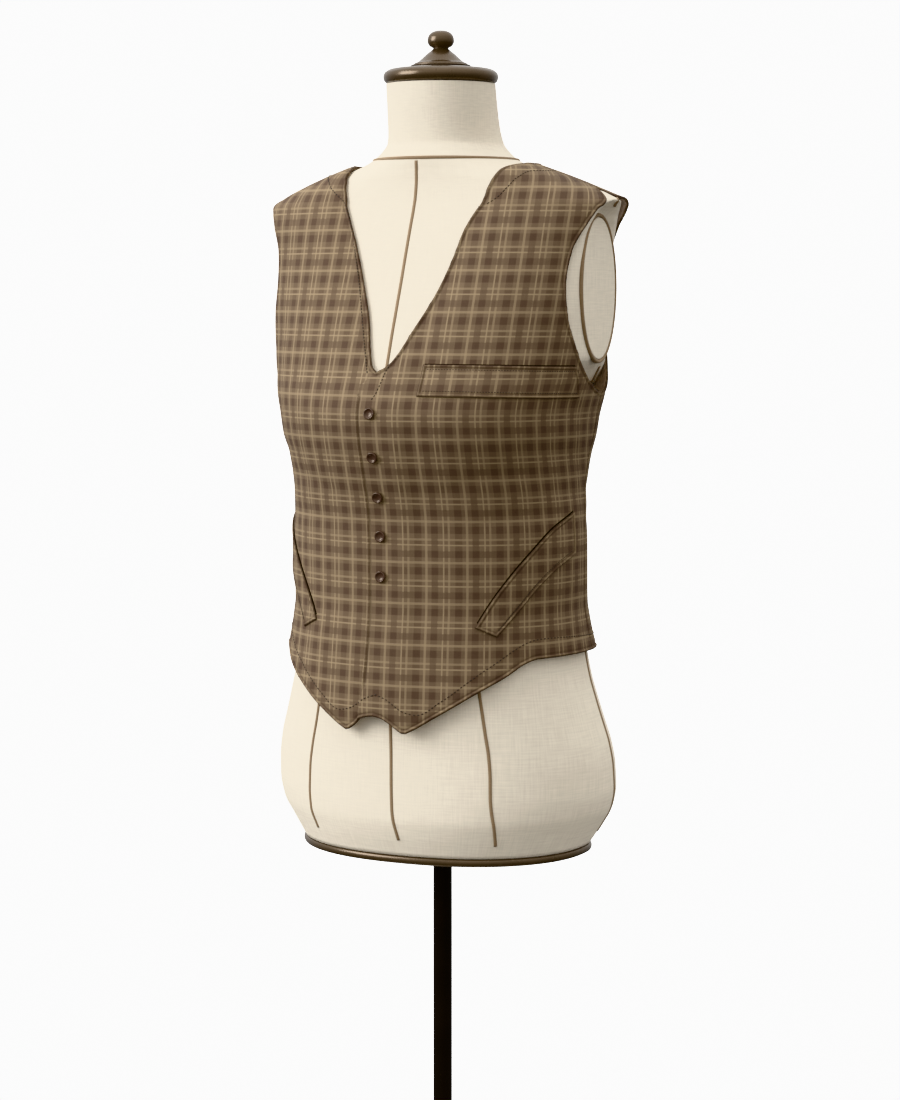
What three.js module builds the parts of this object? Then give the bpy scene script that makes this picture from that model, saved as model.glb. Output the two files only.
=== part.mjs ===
// A V-neck suit waistcoat of checked cloth on a dress form stand.
// Millimetres. +Z is up, the floor is z = 0 under the pole, the front faces -Y and +X is the wearer's left.
// The form is a stack of level sections. The waistcoat is a set of walls that stand off the form's surface.
import * as THREE from 'three';

// Cloth
const WALL = 2;
const SEAM_GAP = 0.4;
const EASE = 5.5;
const LAP_LIFT = 2.7;
const UNDERLAP_RISE = 3.5;
const WELT_WALL = 1.6;
const WELT_GAP = 0.8;
const WELT_ROWS = 4;
const WELT_COLUMNS = 14;

// Where the cloth stands further off the form. flare: from this level down to the hem, over this height;
// wing: the back's shoulder ends, by their angle and level and how far they spread round, down and up
const FLARE = { level: 920, over: 60, most: 1.6, all: 1.5, side: 5, front: 3 };
const WING = { rise: 6.35, angle: 106.7, spread: 9.3, level: 1314.1, below: 17.5, above: 14.7 };

// The left front is lifted this side of the first angle, and lies down at the second
const LAP = { lifted: 5, flat: 14 };
const UNDERLAP = { from: -11.5, to: -8 };

// Where the panels meet, in degrees round from the centre front toward the wearer's left
const SHOULDER_SEAM = 88;
const SIDE_SEAM = 94;
const CENTRE_BACK = 180;
const HEM_CENTRE = -3;
const HEM_LEVEL = 880;
const ARMHOLE_BOTTOM = 1137;
const SHOULDER_SEAM_START = 1337;

// Buttons
const BUTTON_RADIUS = 5.8;
const BUTTON_HEIGHT = 3;
const BUTTON_X = -6;
const BUTTON_LEVELS = [1117.5, 1077.5, 1037.5, 996.5, 956];
const BUTTON_GAP = 0.5;
const BUTTON_SIDES = 14;

// Dress form and stand
const FORM_BOTTOM = 671.5;
const FORM_TOP = 1447;
const NECK_LEAN = -3.8;
const ARM_CUT = 168.5;
const ARM_CUT_SOFT = 1.6;
const SHOULDER_END = 191;
const SHOULDER_EDGE = 1325;
const SHOULDER_ROUNDING = 8;
const HIPS = { full: 900, cut: 1000, out: 30 };
const PLATE = { height: 141.1, width: 85.2, thick: 1.6, level: 1240.6, back: 7.4 };
const PLATE_ROUNDING = { across: 0.8, thick: 0.5 };
const PLATE_SIDES = 28;
const RING = { across: 2, high: 1 };
const RING_SIDES = 6;
const RIM_HEIGHT = 8;
const RIM = { proud: 1.6, inset: 1, rounding: 2 };
const AROUND = 40;
const POLE_RADIUS = 9.8;
const FOOT_RADIUS = 165;
const FOOT_HEIGHT = 16;
const GAP = 0.4;
const CAP_SIDES = 36;
const TURNED_SIDES = 24;
const FOOT_SIDES = 40;

// The form's level sections, from the base to the top of the neck.
// half: half of the width; front, back: depth from the pole's axis; centre: how far back the widest point is;
// square: 2 is an ellipse and more is squarer
const FIGURE = [
  { z: 655, half: 143, front: 102, back: 101, centre: 14, square: 2.2 },
  { z: 676, half: 156.3, front: 110.5, back: 107, centre: 18.7, square: 2.2 },
  { z: 694, half: 167.5, front: 118, back: 113, centre: 21.5, square: 2.2 },
  { z: 712, half: 177.5, front: 122.5, back: 117.5, centre: 20, square: 2.2 },
  { z: 733, half: 181.5, front: 123, back: 119, centre: 17.5, square: 2.2 },
  { z: 755, half: 181, front: 122.8, back: 118.5, centre: 15.5, square: 2.2 },
  { z: 778, half: 177.5, front: 122.5, back: 116, centre: 13, square: 2.2 },
  { z: 800, half: 171, front: 123.3, back: 112, centre: 11, square: 2.2 },
  { z: 822, half: 164.5, front: 124, back: 108, centre: 9, square: 2.2 },
  { z: 848, half: 157.5, front: 124.5, back: 103.5, centre: 7, square: 2.2 },
  { z: 875, half: 153, front: 124.5, back: 99, centre: 5, square: 2.2 },
  { z: 900, half: 150.5, front: 124, back: 94, centre: 3.5, square: 2.2 },
  { z: 925, half: 149.8, front: 123, back: 88, centre: 2.5, square: 2.2 },
  { z: 955, half: 150.5, front: 122.5, back: 81.5, centre: 1.5, square: 2.2 },
  { z: 985, half: 150.8, front: 122.8, back: 76.5, centre: 1.5, square: 2.2 },
  { z: 1010, half: 149.8, front: 124, back: 74.5, centre: 2.5, square: 2.2 },
  { z: 1035, half: 149.2, front: 128.5, back: 75, centre: 4, square: 2.2 },
  { z: 1055, half: 150.3, front: 134.5, back: 77, centre: 5.5, square: 2.2 },
  { z: 1075, half: 153, front: 140, back: 80.5, centre: 6.5, square: 2.25 },
  { z: 1095, half: 157.5, front: 144.5, back: 84.5, centre: 7, square: 2.3 },
  { z: 1115, half: 160.5, front: 147, back: 87.5, centre: 8, square: 2.3 },
  { z: 1135, half: 165, front: 141.5, back: 90, centre: 9, square: 2.35 },
  { z: 1155, half: 169, front: 132.5, back: 92, centre: 9, square: 2.35 },
  { z: 1175, half: 171.5, front: 125, back: 93.5, centre: 8.5, square: 2.35 },
  { z: 1195, half: 173.5, front: 117.5, back: 94.5, centre: 8, square: 2.35 },
  { z: 1220, half: 177.5, front: 107.5, back: 96, centre: 7.5, square: 2.35 },
  { z: 1250, half: 180.5, front: 95.5, back: 95, centre: 8, square: 2.35 },
  { z: 1280, half: 185, front: 84, back: 91, centre: 8, square: 2.3 },
  { z: 1300, half: 189, front: 76, back: 88.5, centre: 8, square: 2.3 },
  { z: 1312, half: 190.5, front: 71, back: 86.5, centre: 8, square: 2.25 },
  { z: 1321, half: 189, front: 67.5, back: 85.5, centre: 8, square: 2.25 },
  { z: 1330, half: 176, front: 64.5, back: 85, centre: 8, square: 2.25 },
  { z: 1340, half: 155, front: 62.5, back: 84.5, centre: 8.5, square: 2.2 },
  { z: 1350, half: 129, front: 61.5, back: 84, centre: 8.5, square: 2.2 },
  { z: 1359, half: 103, front: 61.5, back: 83.5, centre: 9, square: 2.1 },
  { z: 1366, half: 84, front: 62, back: 82.5, centre: 9.5, square: 2.05 },
  { z: 1372, half: 73, front: 62, back: 81, centre: 9.5, square: 2 },
  { z: 1379, half: 65, front: 57.5, back: 76, centre: 9, square: 2 },
  { z: 1388, half: 59, front: 53, back: 70, centre: 8, square: 2 },
  { z: 1402, half: 57, front: 54, back: 63, centre: 4.5, square: 2 },
  { z: 1425, half: 56, front: 57, back: 57, centre: 0, square: 2 },
  { z: 1448, half: 55.5, front: 59.3, back: 51.7, centre: -3.8, square: 2 },
];

// Levels of the form's own rings
const FORM_LEVELS = [
  FORM_BOTTOM, 682, 696, 712, 733, 755, 778, 805, 835, 870, 910, 955, 1000, 1035, 1065, 1088, 1101, 1113,
  1126, 1137, 1143, 1150, 1160, 1172, 1195, 1225, 1260, 1290, 1308, 1317, 1325, 1334, 1345, 1356, 1365,
  1372, 1379, 1388, 1402, 1425, FORM_TOP,
];

// How deep the cut sides are hollowed out under the arms, at each level
const HOLLOW = [
  { z: 1088, depth: 0 },
  { z: 1108, depth: 14 },
  { z: 1126, depth: 30 },
  { z: 1137, depth: 33.2 },
  { z: 1143, depth: 24.1 },
  { z: 1150, depth: 17.7 },
  { z: 1157, depth: 12 },
  { z: 1164, depth: 6.1 },
  { z: 1172, depth: 0 },
];

// Edges of the panels at each level of the form: the angle round from the centre front,
// toward the panel's own side
const LEFT_FRONT_EDGE = [
  { z: 790, angle: -10.4 },
  { z: 827, angle: -9.4 },
  { z: 860, angle: -8.7 },
  { z: 900, angle: -8.2 },
  { z: 1090, angle: -8.2 },
  { z: 1130, angle: -8 },
  { z: 1140, angle: -7.4 },
  { z: 1149, angle: -5 },
  { z: 1157, angle: -1.6 },
  { z: 1164, angle: 1.8 },
  { z: 1200, angle: 8.2 },
  { z: 1244, angle: 14.1 },
  { z: 1272, angle: 16.5 },
  { z: 1295, angle: 17.8 },
  { z: 1315, angle: 20.3 },
  { z: 1335, angle: 26.2 },
  { z: 1344, angle: 31.3 },
  { z: 1352, angle: 39.2 },
  { z: 1359, angle: 54 },
  { z: 1361.5, angle: 73 },
];
const RIGHT_FRONT_EDGE = [
  { z: 790, angle: -3.4 },
  { z: 1130, angle: -3.4 },
  { z: 1140, angle: -2.6 },
  { z: 1149, angle: -0.2 },
  { z: 1157, angle: 2.6 },
  { z: 1164, angle: 4.8 },
  { z: 1213, angle: 8.9 },
  { z: 1238, angle: 11.8 },
  { z: 1271, angle: 15.7 },
  { z: 1301, angle: 19.6 },
  { z: 1326, angle: 24 },
  { z: 1344, angle: 33 },
  { z: 1352, angle: 41 },
  { z: 1359, angle: 54 },
  { z: 1361.5, angle: 73 },
];
const FRONT_ARMHOLE = [
  { z: 1137, angle: 94 },
  { z: 1140, angle: 87.5 },
  { z: 1145, angle: 82.3 },
  { z: 1152, angle: 77.6 },
  { z: 1170, angle: 70.3 },
  { z: 1193, angle: 64.4 },
  { z: 1211, angle: 60.3 },
  { z: 1236, angle: 57.3 },
  { z: 1255, angle: 56.3 },
  { z: 1279, angle: 57 },
  { z: 1291, angle: 58.5 },
  { z: 1302, angle: 60.9 },
  { z: 1311, angle: 63.7 },
  { z: 1318, angle: 67.1 },
  { z: 1324, angle: 75.6 },
  { z: 1330, angle: 82 },
  { z: 1337, angle: 88 },
];
const BACK_ARMHOLE = [
  { z: 1137, angle: 94 },
  { z: 1141, angle: 101.5 },
  { z: 1148, angle: 107.5 },
  { z: 1170, angle: 116 },
  { z: 1193, angle: 120.5 },
  { z: 1236, angle: 123.2 },
  { z: 1262, angle: 123.2 },
  { z: 1279, angle: 124.3 },
  { z: 1298, angle: 121.9 },
  { z: 1311, angle: 117 },
  { z: 1320, angle: 111.3 },
  { z: 1328, angle: 94.1 },
  { z: 1337, angle: 88 },
];

// The hem: the level of the cloth's lower edge, by the angle to either side of the notch between the points
const HEM = [
  { angle: 0, z: 816.8 },
  { angle: 3, z: 815 },
  { angle: 7, z: 808.6 },
  { angle: 10.4, z: 801.6 },
  { angle: 11.5, z: 800.6 },
  { angle: 12.6, z: 802 },
  { angle: 22, z: 818.8 },
  { angle: 35.5, z: 841.6 },
  { angle: 46, z: 857 },
  { angle: 55, z: 870.5 },
  { angle: 60, z: 873.6 },
  { angle: 75, z: 874 },
  { angle: 184, z: 874 },
];

// Levels of the rows of the walls above the hem, and the columns as shares of a front panel's width
const ROWS = [
  880, 905, 930, 955, 980, 1005, 1030, 1050, 1070, 1090, 1110, 1125, 1137, 1141, 1147, 1156, 1168,
  1190, 1215, 1240, 1265, 1288, 1304, 1314, 1321, 1329, 1337, 1345, 1353, 1359, 1361.5,
];
const HEM_ROWS = [0, 0.12, 0.45, 0.75];
const FRONT_COLUMNS = [
  0, 0.03, 0.065, 0.1, 0.135, 0.167, 0.21, 0.28, 0.37, 0.46, 0.55, 0.64, 0.73, 0.82, 0.91, 1,
];
const BACK_COLUMNS = 8;

// A button's outline, in shares of its radius and height
const BUTTON_PROFILE = [
  { out: 0, up: 0 },
  { out: 0.8, up: 0 },
  { out: 1, up: 0.45 },
  { out: 0.92, up: 1 },
  { out: 0.7, up: 0.9 },
  { out: 0, up: 0.6 },
];

// The slanted welts: both long edges, by angle and level, from the side seam down to the front
const LOWER_WELT = [
  { along: 0, mouthAngle: 81, mouthZ: 1018.5, footAngle: 81.5, footZ: 976 },
  { along: 0.25, mouthAngle: 66, mouthZ: 1002.5, footAngle: 68.5, footZ: 962.5 },
  { along: 0.5, mouthAngle: 52.6, mouthZ: 974.6, footAngle: 58.7, footZ: 945 },
  { along: 0.75, mouthAngle: 41.5, mouthZ: 941, footAngle: 50, footZ: 921.5 },
  { along: 1, mouthAngle: 33.2, mouthZ: 907, footAngle: 41.2, footZ: 897.5 },
];
const CHEST_WELT = { top: 1164.5, bottom: 1133.5, start: 13.6, endTop: 68.6, endBottom: 73.4, corner: 5 };

const rad = THREE.MathUtils.degToRad;
const mix = THREE.MathUtils.lerp;
const clamp = THREE.MathUtils.clamp;

function smooth(low, high, value) {
  return THREE.MathUtils.smoothstep(value, low, high);
}

// A smooth curve through a table's rows that never overshoots them
function through(rows, key, value) {
  const xs = rows.map((row) => row[key]);
  const ys = rows.map((row) => row[value]);
  const steps = xs.slice(1).map((x, i) => (ys[i + 1] - ys[i]) / (x - xs[i]));
  const slopes = ys.map((y, i) => {
    if (i === 0 || i === ys.length - 1) {
      return i === 0 ? steps[0] : steps[i - 1];
    }
    const product = steps[i - 1] * steps[i];
    return product > 0 ? (2 * product) / (steps[i - 1] + steps[i]) : 0;
  });
  return (at) => {
    const x = clamp(at, xs[0], xs[xs.length - 1]);
    let i = 0;
    while (i < xs.length - 2 && x > xs[i + 1]) {
      i += 1;
    }
    const width = xs[i + 1] - xs[i];
    const t = (x - xs[i]) / width;
    const rise = ys[i] * (1 + 2 * t) * (1 - t) ** 2 + ys[i + 1] * t * t * (3 - 2 * t);
    return rise + width * (slopes[i] * t * (1 - t) ** 2 + slopes[i + 1] * t * t * (t - 1));
  };
}

const half = through(FIGURE, 'z', 'half');
const front = through(FIGURE, 'z', 'front');
const back = through(FIGURE, 'z', 'back');
const centre = through(FIGURE, 'z', 'centre');
const square = through(FIGURE, 'z', 'square');
const leftEdge = through(LEFT_FRONT_EDGE, 'z', 'angle');
const rightEdge = through(RIGHT_FRONT_EDGE, 'z', 'angle');
const frontArmhole = through(FRONT_ARMHOLE, 'z', 'angle');
const backArmhole = through(BACK_ARMHOLE, 'z', 'angle');
const hemCurve = through(HEM, 'angle', 'z');
const hollow = through(HOLLOW, 'z', 'depth');

// The figure's surface: a point of the level section, by angle in degrees and level
function figure(angle, z) {
  const s = Math.sin(rad(angle));
  const c = Math.cos(rad(angle));
  const n = square(z);
  const reach = (Math.abs(s) ** n + Math.abs(c) ** n) ** (-1 / n);
  const depth = c > 0 ? front(z) + centre(z) : back(z) - centre(z);
  return new THREE.Vector3(half(z) * reach * s, centre(z) - depth * reach * c, z);
}

function outward(angle, z) {
  const round = figure(angle + 0.1, z).sub(figure(angle - 0.1, z));
  const rise = figure(angle, z + 0.2).sub(figure(angle, z - 0.2));
  return round.cross(rise).normalize();
}

// How far the cloth's outer face stands off the figure: more toward the hem, at the sides,
// and where the back's shoulder ends stand away like small wings
function ease(angle, z) {
  const side = Math.sin(rad(angle)) ** 2;
  const ahead = Math.max(Math.cos(rad(angle)), 0) ** 2;
  const low = clamp((FLARE.level - z) / FLARE.over, 0, FLARE.most);
  const round = (Math.abs(angle) - WING.angle) / WING.spread;
  const up = (z - WING.level) / (z > WING.level ? WING.above : WING.below);
  return EASE + low * (FLARE.all + FLARE.side * side + FLARE.front * ahead)
    + WING.rise * Math.exp(-(round ** 2) - up ** 2);
}

function cloth(angle, z, off) {
  return figure(angle, z).addScaledVector(outward(angle, z), ease(angle, z) + off);
}

// The left front lies over the right one, so it is lifted where they lap
function lapLift(angle) {
  return LAP_LIFT * (1 - smooth(LAP.lifted, LAP.flat, angle));
}

function leftCloth(angle, z, off) {
  return cloth(angle, z, off + lapLift(angle));
}

// How many degrees round a given length is, near an angle and level
function degreesOf(length, angle, z) {
  return length / figure(angle + 0.5, z).distanceTo(figure(angle - 0.5, z));
}

// A closed solid from a grid of outer points and one of inner points, both row by row from the hem up
function wall(outer, inner) {
  const rows = outer.length;
  const columns = outer[0].length;
  const points = [...outer.flat(), ...inner.flat()];
  const index = [];
  const at = (side, r, c) => side * rows * columns + r * columns + c;
  const quad = (a, b, c, d) => index.push(a, b, c, a, c, d);
  for (let r = 0; r < rows - 1; r += 1) {
    for (let c = 0; c < columns - 1; c += 1) {
      quad(at(0, r, c), at(0, r, c + 1), at(0, r + 1, c + 1), at(0, r + 1, c));
      quad(at(1, r, c), at(1, r + 1, c), at(1, r + 1, c + 1), at(1, r, c + 1));
    }
  }
  for (let r = 0; r < rows - 1; r += 1) {
    quad(at(0, r, 0), at(0, r + 1, 0), at(1, r + 1, 0), at(1, r, 0));
    const last = columns - 1;
    quad(at(0, r + 1, last), at(0, r, last), at(1, r, last), at(1, r + 1, last));
  }
  for (let c = 0; c < columns - 1; c += 1) {
    quad(at(0, 0, c + 1), at(0, 0, c), at(1, 0, c), at(1, 0, c + 1));
    const top = rows - 1;
    quad(at(0, top, c), at(0, top, c + 1), at(1, top, c + 1), at(1, top, c));
  }
  return solid(points, index);
}

function solid(points, index) {
  const geometry = new THREE.BufferGeometry();
  geometry.setFromPoints(points);
  geometry.setIndex(index);
  geometry.computeVertexNormals();
  return geometry;
}

// Rings of points, bottom to top, closed with a fan at each end
function stack(rings) {
  const around = rings[0].length;
  const points = rings.flat();
  const index = [];
  for (let r = 0; r < rings.length - 1; r += 1) {
    for (let c = 0; c < around; c += 1) {
      const a = r * around + c;
      const b = r * around + ((c + 1) % around);
      index.push(a, b, b + around, a, b + around, a + around);
    }
  }
  [0, rings.length - 1].forEach((r) => {
    const middle = new THREE.Vector3();
    rings[r].forEach((point) => middle.addScaledVector(point, 1 / around));
    points.push(middle);
    for (let c = 0; c < around; c += 1) {
      const a = r * around + c;
      const b = r * around + ((c + 1) % around);
      index.push(points.length - 1, r ? a : b, r ? b : a);
    }
  });
  return solid(points, index);
}

// A panel between two edges. Its rows are level above the hem and follow the hem below that.
// turn is 1 on the wearer's left and -1 on the wearer's right, where the grid's columns run the other way
function panel({ start, end, columns, hem, place, turn }) {
  const levels = [...HEM_ROWS.map((share) => ({ share })), ...ROWS.map((z) => ({ z }))];
  const grid = (off) => levels.map((level) => columns.map((share) => {
    const foot = mix(start(HEM_LEVEL), end(HEM_LEVEL), share);
    const z = level.z ?? mix(hem(foot), HEM_LEVEL, level.share);
    return place(turn * mix(start(z), end(z), share), z, off);
  }));
  const order = (rows) => (turn > 0 ? rows : rows.map((row) => [...row].reverse()));
  return wall(order(grid(0)), order(grid(-WALL)));
}

const hemOf = (angle) => hemCurve(Math.abs(angle - HEM_CENTRE));
const seamBefore = (angle, z) => angle - degreesOf(SEAM_GAP / 2, angle, z);
const seamAfter = (angle, z) => angle + degreesOf(SEAM_GAP / 2, angle, z);

// A panel's outer edge: the side seam, then the armhole, then the shoulder seam
function sideEdge(armhole, z) {
  if (z <= ARMHOLE_BOTTOM) {
    return SIDE_SEAM;
  }
  return z >= SHOULDER_SEAM_START ? SHOULDER_SEAM : armhole(z);
}

const frontSide = (z) => seamBefore(sideEdge(frontArmhole, z), z);
const backSide = (z) => seamAfter(sideEdge(backArmhole, z), z);

function frontLeft() {
  return panel({
    start: leftEdge, end: frontSide, columns: FRONT_COLUMNS, hem: hemOf, place: leftCloth, turn: 1,
  });
}

// Under the lap, the right front's hem stays above the left one's
function frontRight() {
  const hem = (angle) => {
    const at = Math.min(-angle, HEM_CENTRE);
    return hemOf(at) + UNDERLAP_RISE * smooth(UNDERLAP.from, UNDERLAP.to, at);
  };
  return panel({ start: rightEdge, end: frontSide, columns: FRONT_COLUMNS, hem, place: cloth, turn: -1 });
}

function backHalf(turn) {
  const columns = Array.from({ length: BACK_COLUMNS + 1 }, (_, i) => i / BACK_COLUMNS);
  const end = (z) => seamBefore(CENTRE_BACK, z);
  return panel({ start: backSide, end, columns, hem: hemOf, place: cloth, turn });
}

// A strip that lies on a panel, made from the panel's points moved out
function strip(place, turn, surface) {
  const grid = (off) => Array.from({ length: WELT_ROWS + 1 }, (_, r) => (
    Array.from({ length: WELT_COLUMNS + 1 }, (_, c) => {
      const { angle, z } = place(r / WELT_ROWS, c / WELT_COLUMNS);
      return surface(turn * angle, z, off);
    })));
  const order = (rows) => (turn > 0 ? rows : rows.map((row) => [...row].reverse()));
  return wall(order(grid(WELT_GAP + WELT_WALL)), order(grid(WELT_GAP)));
}

function chestWelt() {
  const { top, bottom, start, endTop, endBottom, corner } = CHEST_WELT;
  const place = (up, along) => ({
    angle: mix(start, mix(endBottom, endTop, up), along),
    z: mix(bottom, top, up) - (along === 1 && up === 1 ? corner : 0),
  });
  return strip(place, 1, leftCloth);
}

function lowerWelt(turn) {
  const column = (name) => through(LOWER_WELT, 'along', name);
  const mouthAngle = column('mouthAngle');
  const mouthZ = column('mouthZ');
  const footAngle = column('footAngle');
  const footZ = column('footZ');
  const place = (up, along) => {
    const from = 1 - along;
    return {
      angle: mix(footAngle(from), mouthAngle(from), up),
      z: mix(footZ(from), mouthZ(from), up),
    };
  };
  return strip(place, turn, cloth);
}

// A round button with a raised rim and a dished face
function button() {
  const profile = BUTTON_PROFILE.map(({ out, up }) => [BUTTON_RADIUS * out, BUTTON_HEIGHT * up]);
  return turned(profile, BUTTON_SIDES);
}

// A solid turned about Z from a profile of radius and height
function turned(profile, segments) {
  const points = profile.map(([r, z]) => new THREE.Vector2(r, z));
  return new THREE.LatheGeometry(points, segments).rotateX(Math.PI / 2);
}

// The form's surface: the figure, cut off flat at the arm plates and hollowed below them. The hips stay full
function form(angle, z) {
  const point = figure(angle, z);
  const shoulder = smooth(SHOULDER_EDGE - SHOULDER_ROUNDING, SHOULDER_EDGE, z);
  const hips = HIPS.out * (1 - smooth(HIPS.full, HIPS.cut, z));
  const limit = mix(ARM_CUT, SHOULDER_END, shoulder) + hips - hollow(z);
  const over = Math.abs(point.x) - limit;
  point.x -= Math.sign(point.x) * ARM_CUT_SOFT * Math.log(1 + Math.exp(over / ARM_CUT_SOFT));
  return point;
}

function ringAt(z, surface) {
  return Array.from({ length: AROUND }, (_, i) => surface((360 * i) / AROUND, z));
}

function torso() {
  return stack(FORM_LEVELS.map((z) => ringAt(z, form)));
}

// The dark band and board that close the lower end
function baseRim() {
  const bottom = FORM_BOTTOM - GAP - RIM_HEIGHT;
  const band = (z, out) => ringAt(FORM_BOTTOM, (angle) => {
    const point = figure(angle, FORM_BOTTOM);
    const flat = new THREE.Vector3(point.x, point.y, 0).normalize();
    return point.addScaledVector(flat, out).setZ(z);
  });
  return stack([
    band(bottom, -RIM.inset),
    band(bottom + RIM.rounding, RIM.proud),
    band(bottom + RIM_HEIGHT - RIM.rounding, RIM.proud),
    band(bottom + RIM_HEIGHT, 0),
  ]);
}

function ovalPoint(turn, grow, x) {
  return new THREE.Vector3(
    x,
    PLATE.back + (PLATE.width / 2 + grow) * Math.cos(turn),
    PLATE.level + (PLATE.height / 2 + grow) * Math.sin(turn),
  );
}

function armPlate() {
  const { across, thick } = PLATE_ROUNDING;
  const inside = ARM_CUT + GAP;
  const outside = inside + PLATE.thick;
  const ring = (grow, x) => Array.from({ length: PLATE_SIDES }, (_, i) => (
    ovalPoint((2 * Math.PI * i) / PLATE_SIDES, grow, x)));
  return stack([
    ring(-across, inside),
    ring(0, inside + thick),
    ring(0, outside - thick),
    ring(-across, outside),
  ]);
}

// The piping round the plate: a closed oval of flat cord with six sides
function armRing() {
  const sides = RING_SIDES;
  const points = [];
  const index = [];
  const out = RING.across + GAP;
  for (let i = 0; i < PLATE_SIDES; i += 1) {
    for (let j = 0; j < sides; j += 1) {
      const roll = (2 * Math.PI * j) / sides;
      const grow = out + RING.across * Math.cos(roll);
      const x = ARM_CUT + GAP + RING.high + RING.high * Math.sin(roll);
      points.push(ovalPoint((2 * Math.PI * i) / PLATE_SIDES, grow, x));
      const a = i * sides + j;
      const b = i * sides + ((j + 1) % sides);
      const c = ((i + 1) % PLATE_SIDES) * sides + ((j + 1) % sides);
      const d = ((i + 1) % PLATE_SIDES) * sides + j;
      index.push(a, c, b, a, d, c);
    }
  }
  return solid(points, index);
}

// The other side's copy of a solid: mirrored in X, with its faces turned to point out again
function mirrored(geometry) {
  const copy = geometry.clone().scale(-1, 1, 1);
  const order = copy.index.array;
  for (let i = 0; i < order.length; i += 3) {
    [order[i], order[i + 1]] = [order[i + 1], order[i]];
  }
  copy.computeVertexNormals();
  return copy;
}

// Turned cap on the neck, the knob that stands on it, and the stand: radius and level
const CAP_PROFILE = [
  [0, FORM_TOP + GAP], [53, FORM_TOP + GAP], [57.5, 1449.5], [58.8, 1454], [57.6, 1458.6], [53, 1461.6],
  [40, 1463], [30, 1464.4], [0, 1464.4],
];
const FINIAL_PROFILE = [
  [0, 1464.8], [30, 1464.8], [30, 1466.4], [25, 1468.2], [19.5, 1472.7], [13, 1478.4], [7.8, 1483],
  [10.8, 1484.8], [13.2, 1488.8], [13.2, 1493.6], [9.6, 1498.4], [5, 1500.4], [0, 1501],
];
const POLE_TOP = FORM_BOTTOM - RIM_HEIGHT - 2 * GAP;
const POLE_PROFILE = [
  [0, FOOT_HEIGHT + GAP], [POLE_RADIUS, FOOT_HEIGHT + GAP], [POLE_RADIUS, POLE_TOP], [0, POLE_TOP],
];
const FOOT_PROFILE = [
  [0, 0], [FOOT_RADIUS - 3, 0], [FOOT_RADIUS, 3], [FOOT_RADIUS, 7], [FOOT_RADIUS - 4, 9.5],
  [80, 13.6], [24, FOOT_HEIGHT], [0, FOOT_HEIGHT],
];

const FINISH = {
  cloth: new THREE.MeshStandardMaterial({ color: 0x66503c, roughness: 0.9, metalness: 0 }),
  button: new THREE.MeshStandardMaterial({ color: 0x3d2a1b, roughness: 0.25, metalness: 0 }),
  linen: new THREE.MeshStandardMaterial({ color: 0xe6dbc5, roughness: 0.9, metalness: 0 }),
  piping: new THREE.MeshStandardMaterial({ color: 0x7a6245, roughness: 0.8, metalness: 0 }),
  bronze: new THREE.MeshStandardMaterial({ color: 0x5e4832, roughness: 0.35, metalness: 0.6 }),
  black: new THREE.MeshStandardMaterial({ color: 0x0c0805, roughness: 0.4, metalness: 0.3 }),
};

const part = new THREE.Group();

function add(name, geometry, finish) {
  const mesh = new THREE.Mesh(geometry, FINISH[finish]);
  mesh.name = name;
  part.add(mesh);
  return mesh;
}

add('front_left', frontLeft(), 'cloth');
add('front_right', frontRight(), 'cloth');
add('back_left', backHalf(1), 'cloth');
add('back_right', backHalf(-1), 'cloth');
add('welt_chest', chestWelt(), 'cloth');
add('welt_left', lowerWelt(1), 'cloth');
add('welt_right', lowerWelt(-1), 'cloth');

BUTTON_LEVELS.forEach((z, i) => {
  const angle = -THREE.MathUtils.radToDeg(Math.asin(-BUTTON_X / (half(z) + EASE)));
  const knob = add(`button_${i + 1}`, button(), 'button');
  knob.position.copy(leftCloth(angle, z, BUTTON_GAP));
  knob.quaternion.setFromUnitVectors(new THREE.Vector3(0, 0, 1), outward(angle, z));
});

add('form_torso', torso(), 'linen');
add('base_rim', baseRim(), 'bronze');
add('arm_plate_left', armPlate(), 'linen');
add('arm_plate_right', mirrored(armPlate()), 'linen');
add('arm_ring_left', armRing(), 'piping');
add('arm_ring_right', mirrored(armRing()), 'piping');
add('neck_cap', turned(CAP_PROFILE, CAP_SIDES), 'bronze').position.y = NECK_LEAN;
add('finial', turned(FINIAL_PROFILE, TURNED_SIDES), 'bronze').position.y = NECK_LEAN;
add('pole', turned(POLE_PROFILE, TURNED_SIDES), 'black');
add('foot', turned(FOOT_PROFILE, FOOT_SIDES), 'black');

export default part;
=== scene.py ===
# %% [markdown]
# # A checked waistcoat on a dress form
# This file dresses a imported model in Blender: a V-neck suit waistcoat of brown check, buttoned on a
# linen dress form with a turned cap, a pole and a round foot. Every piece is a surface worked out with
# numpy, a function of two parameters on a grid, so its shape can be read as a formula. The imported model
# gives the frame, and each new piece stands for one of its solids.

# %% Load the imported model
import math

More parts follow.
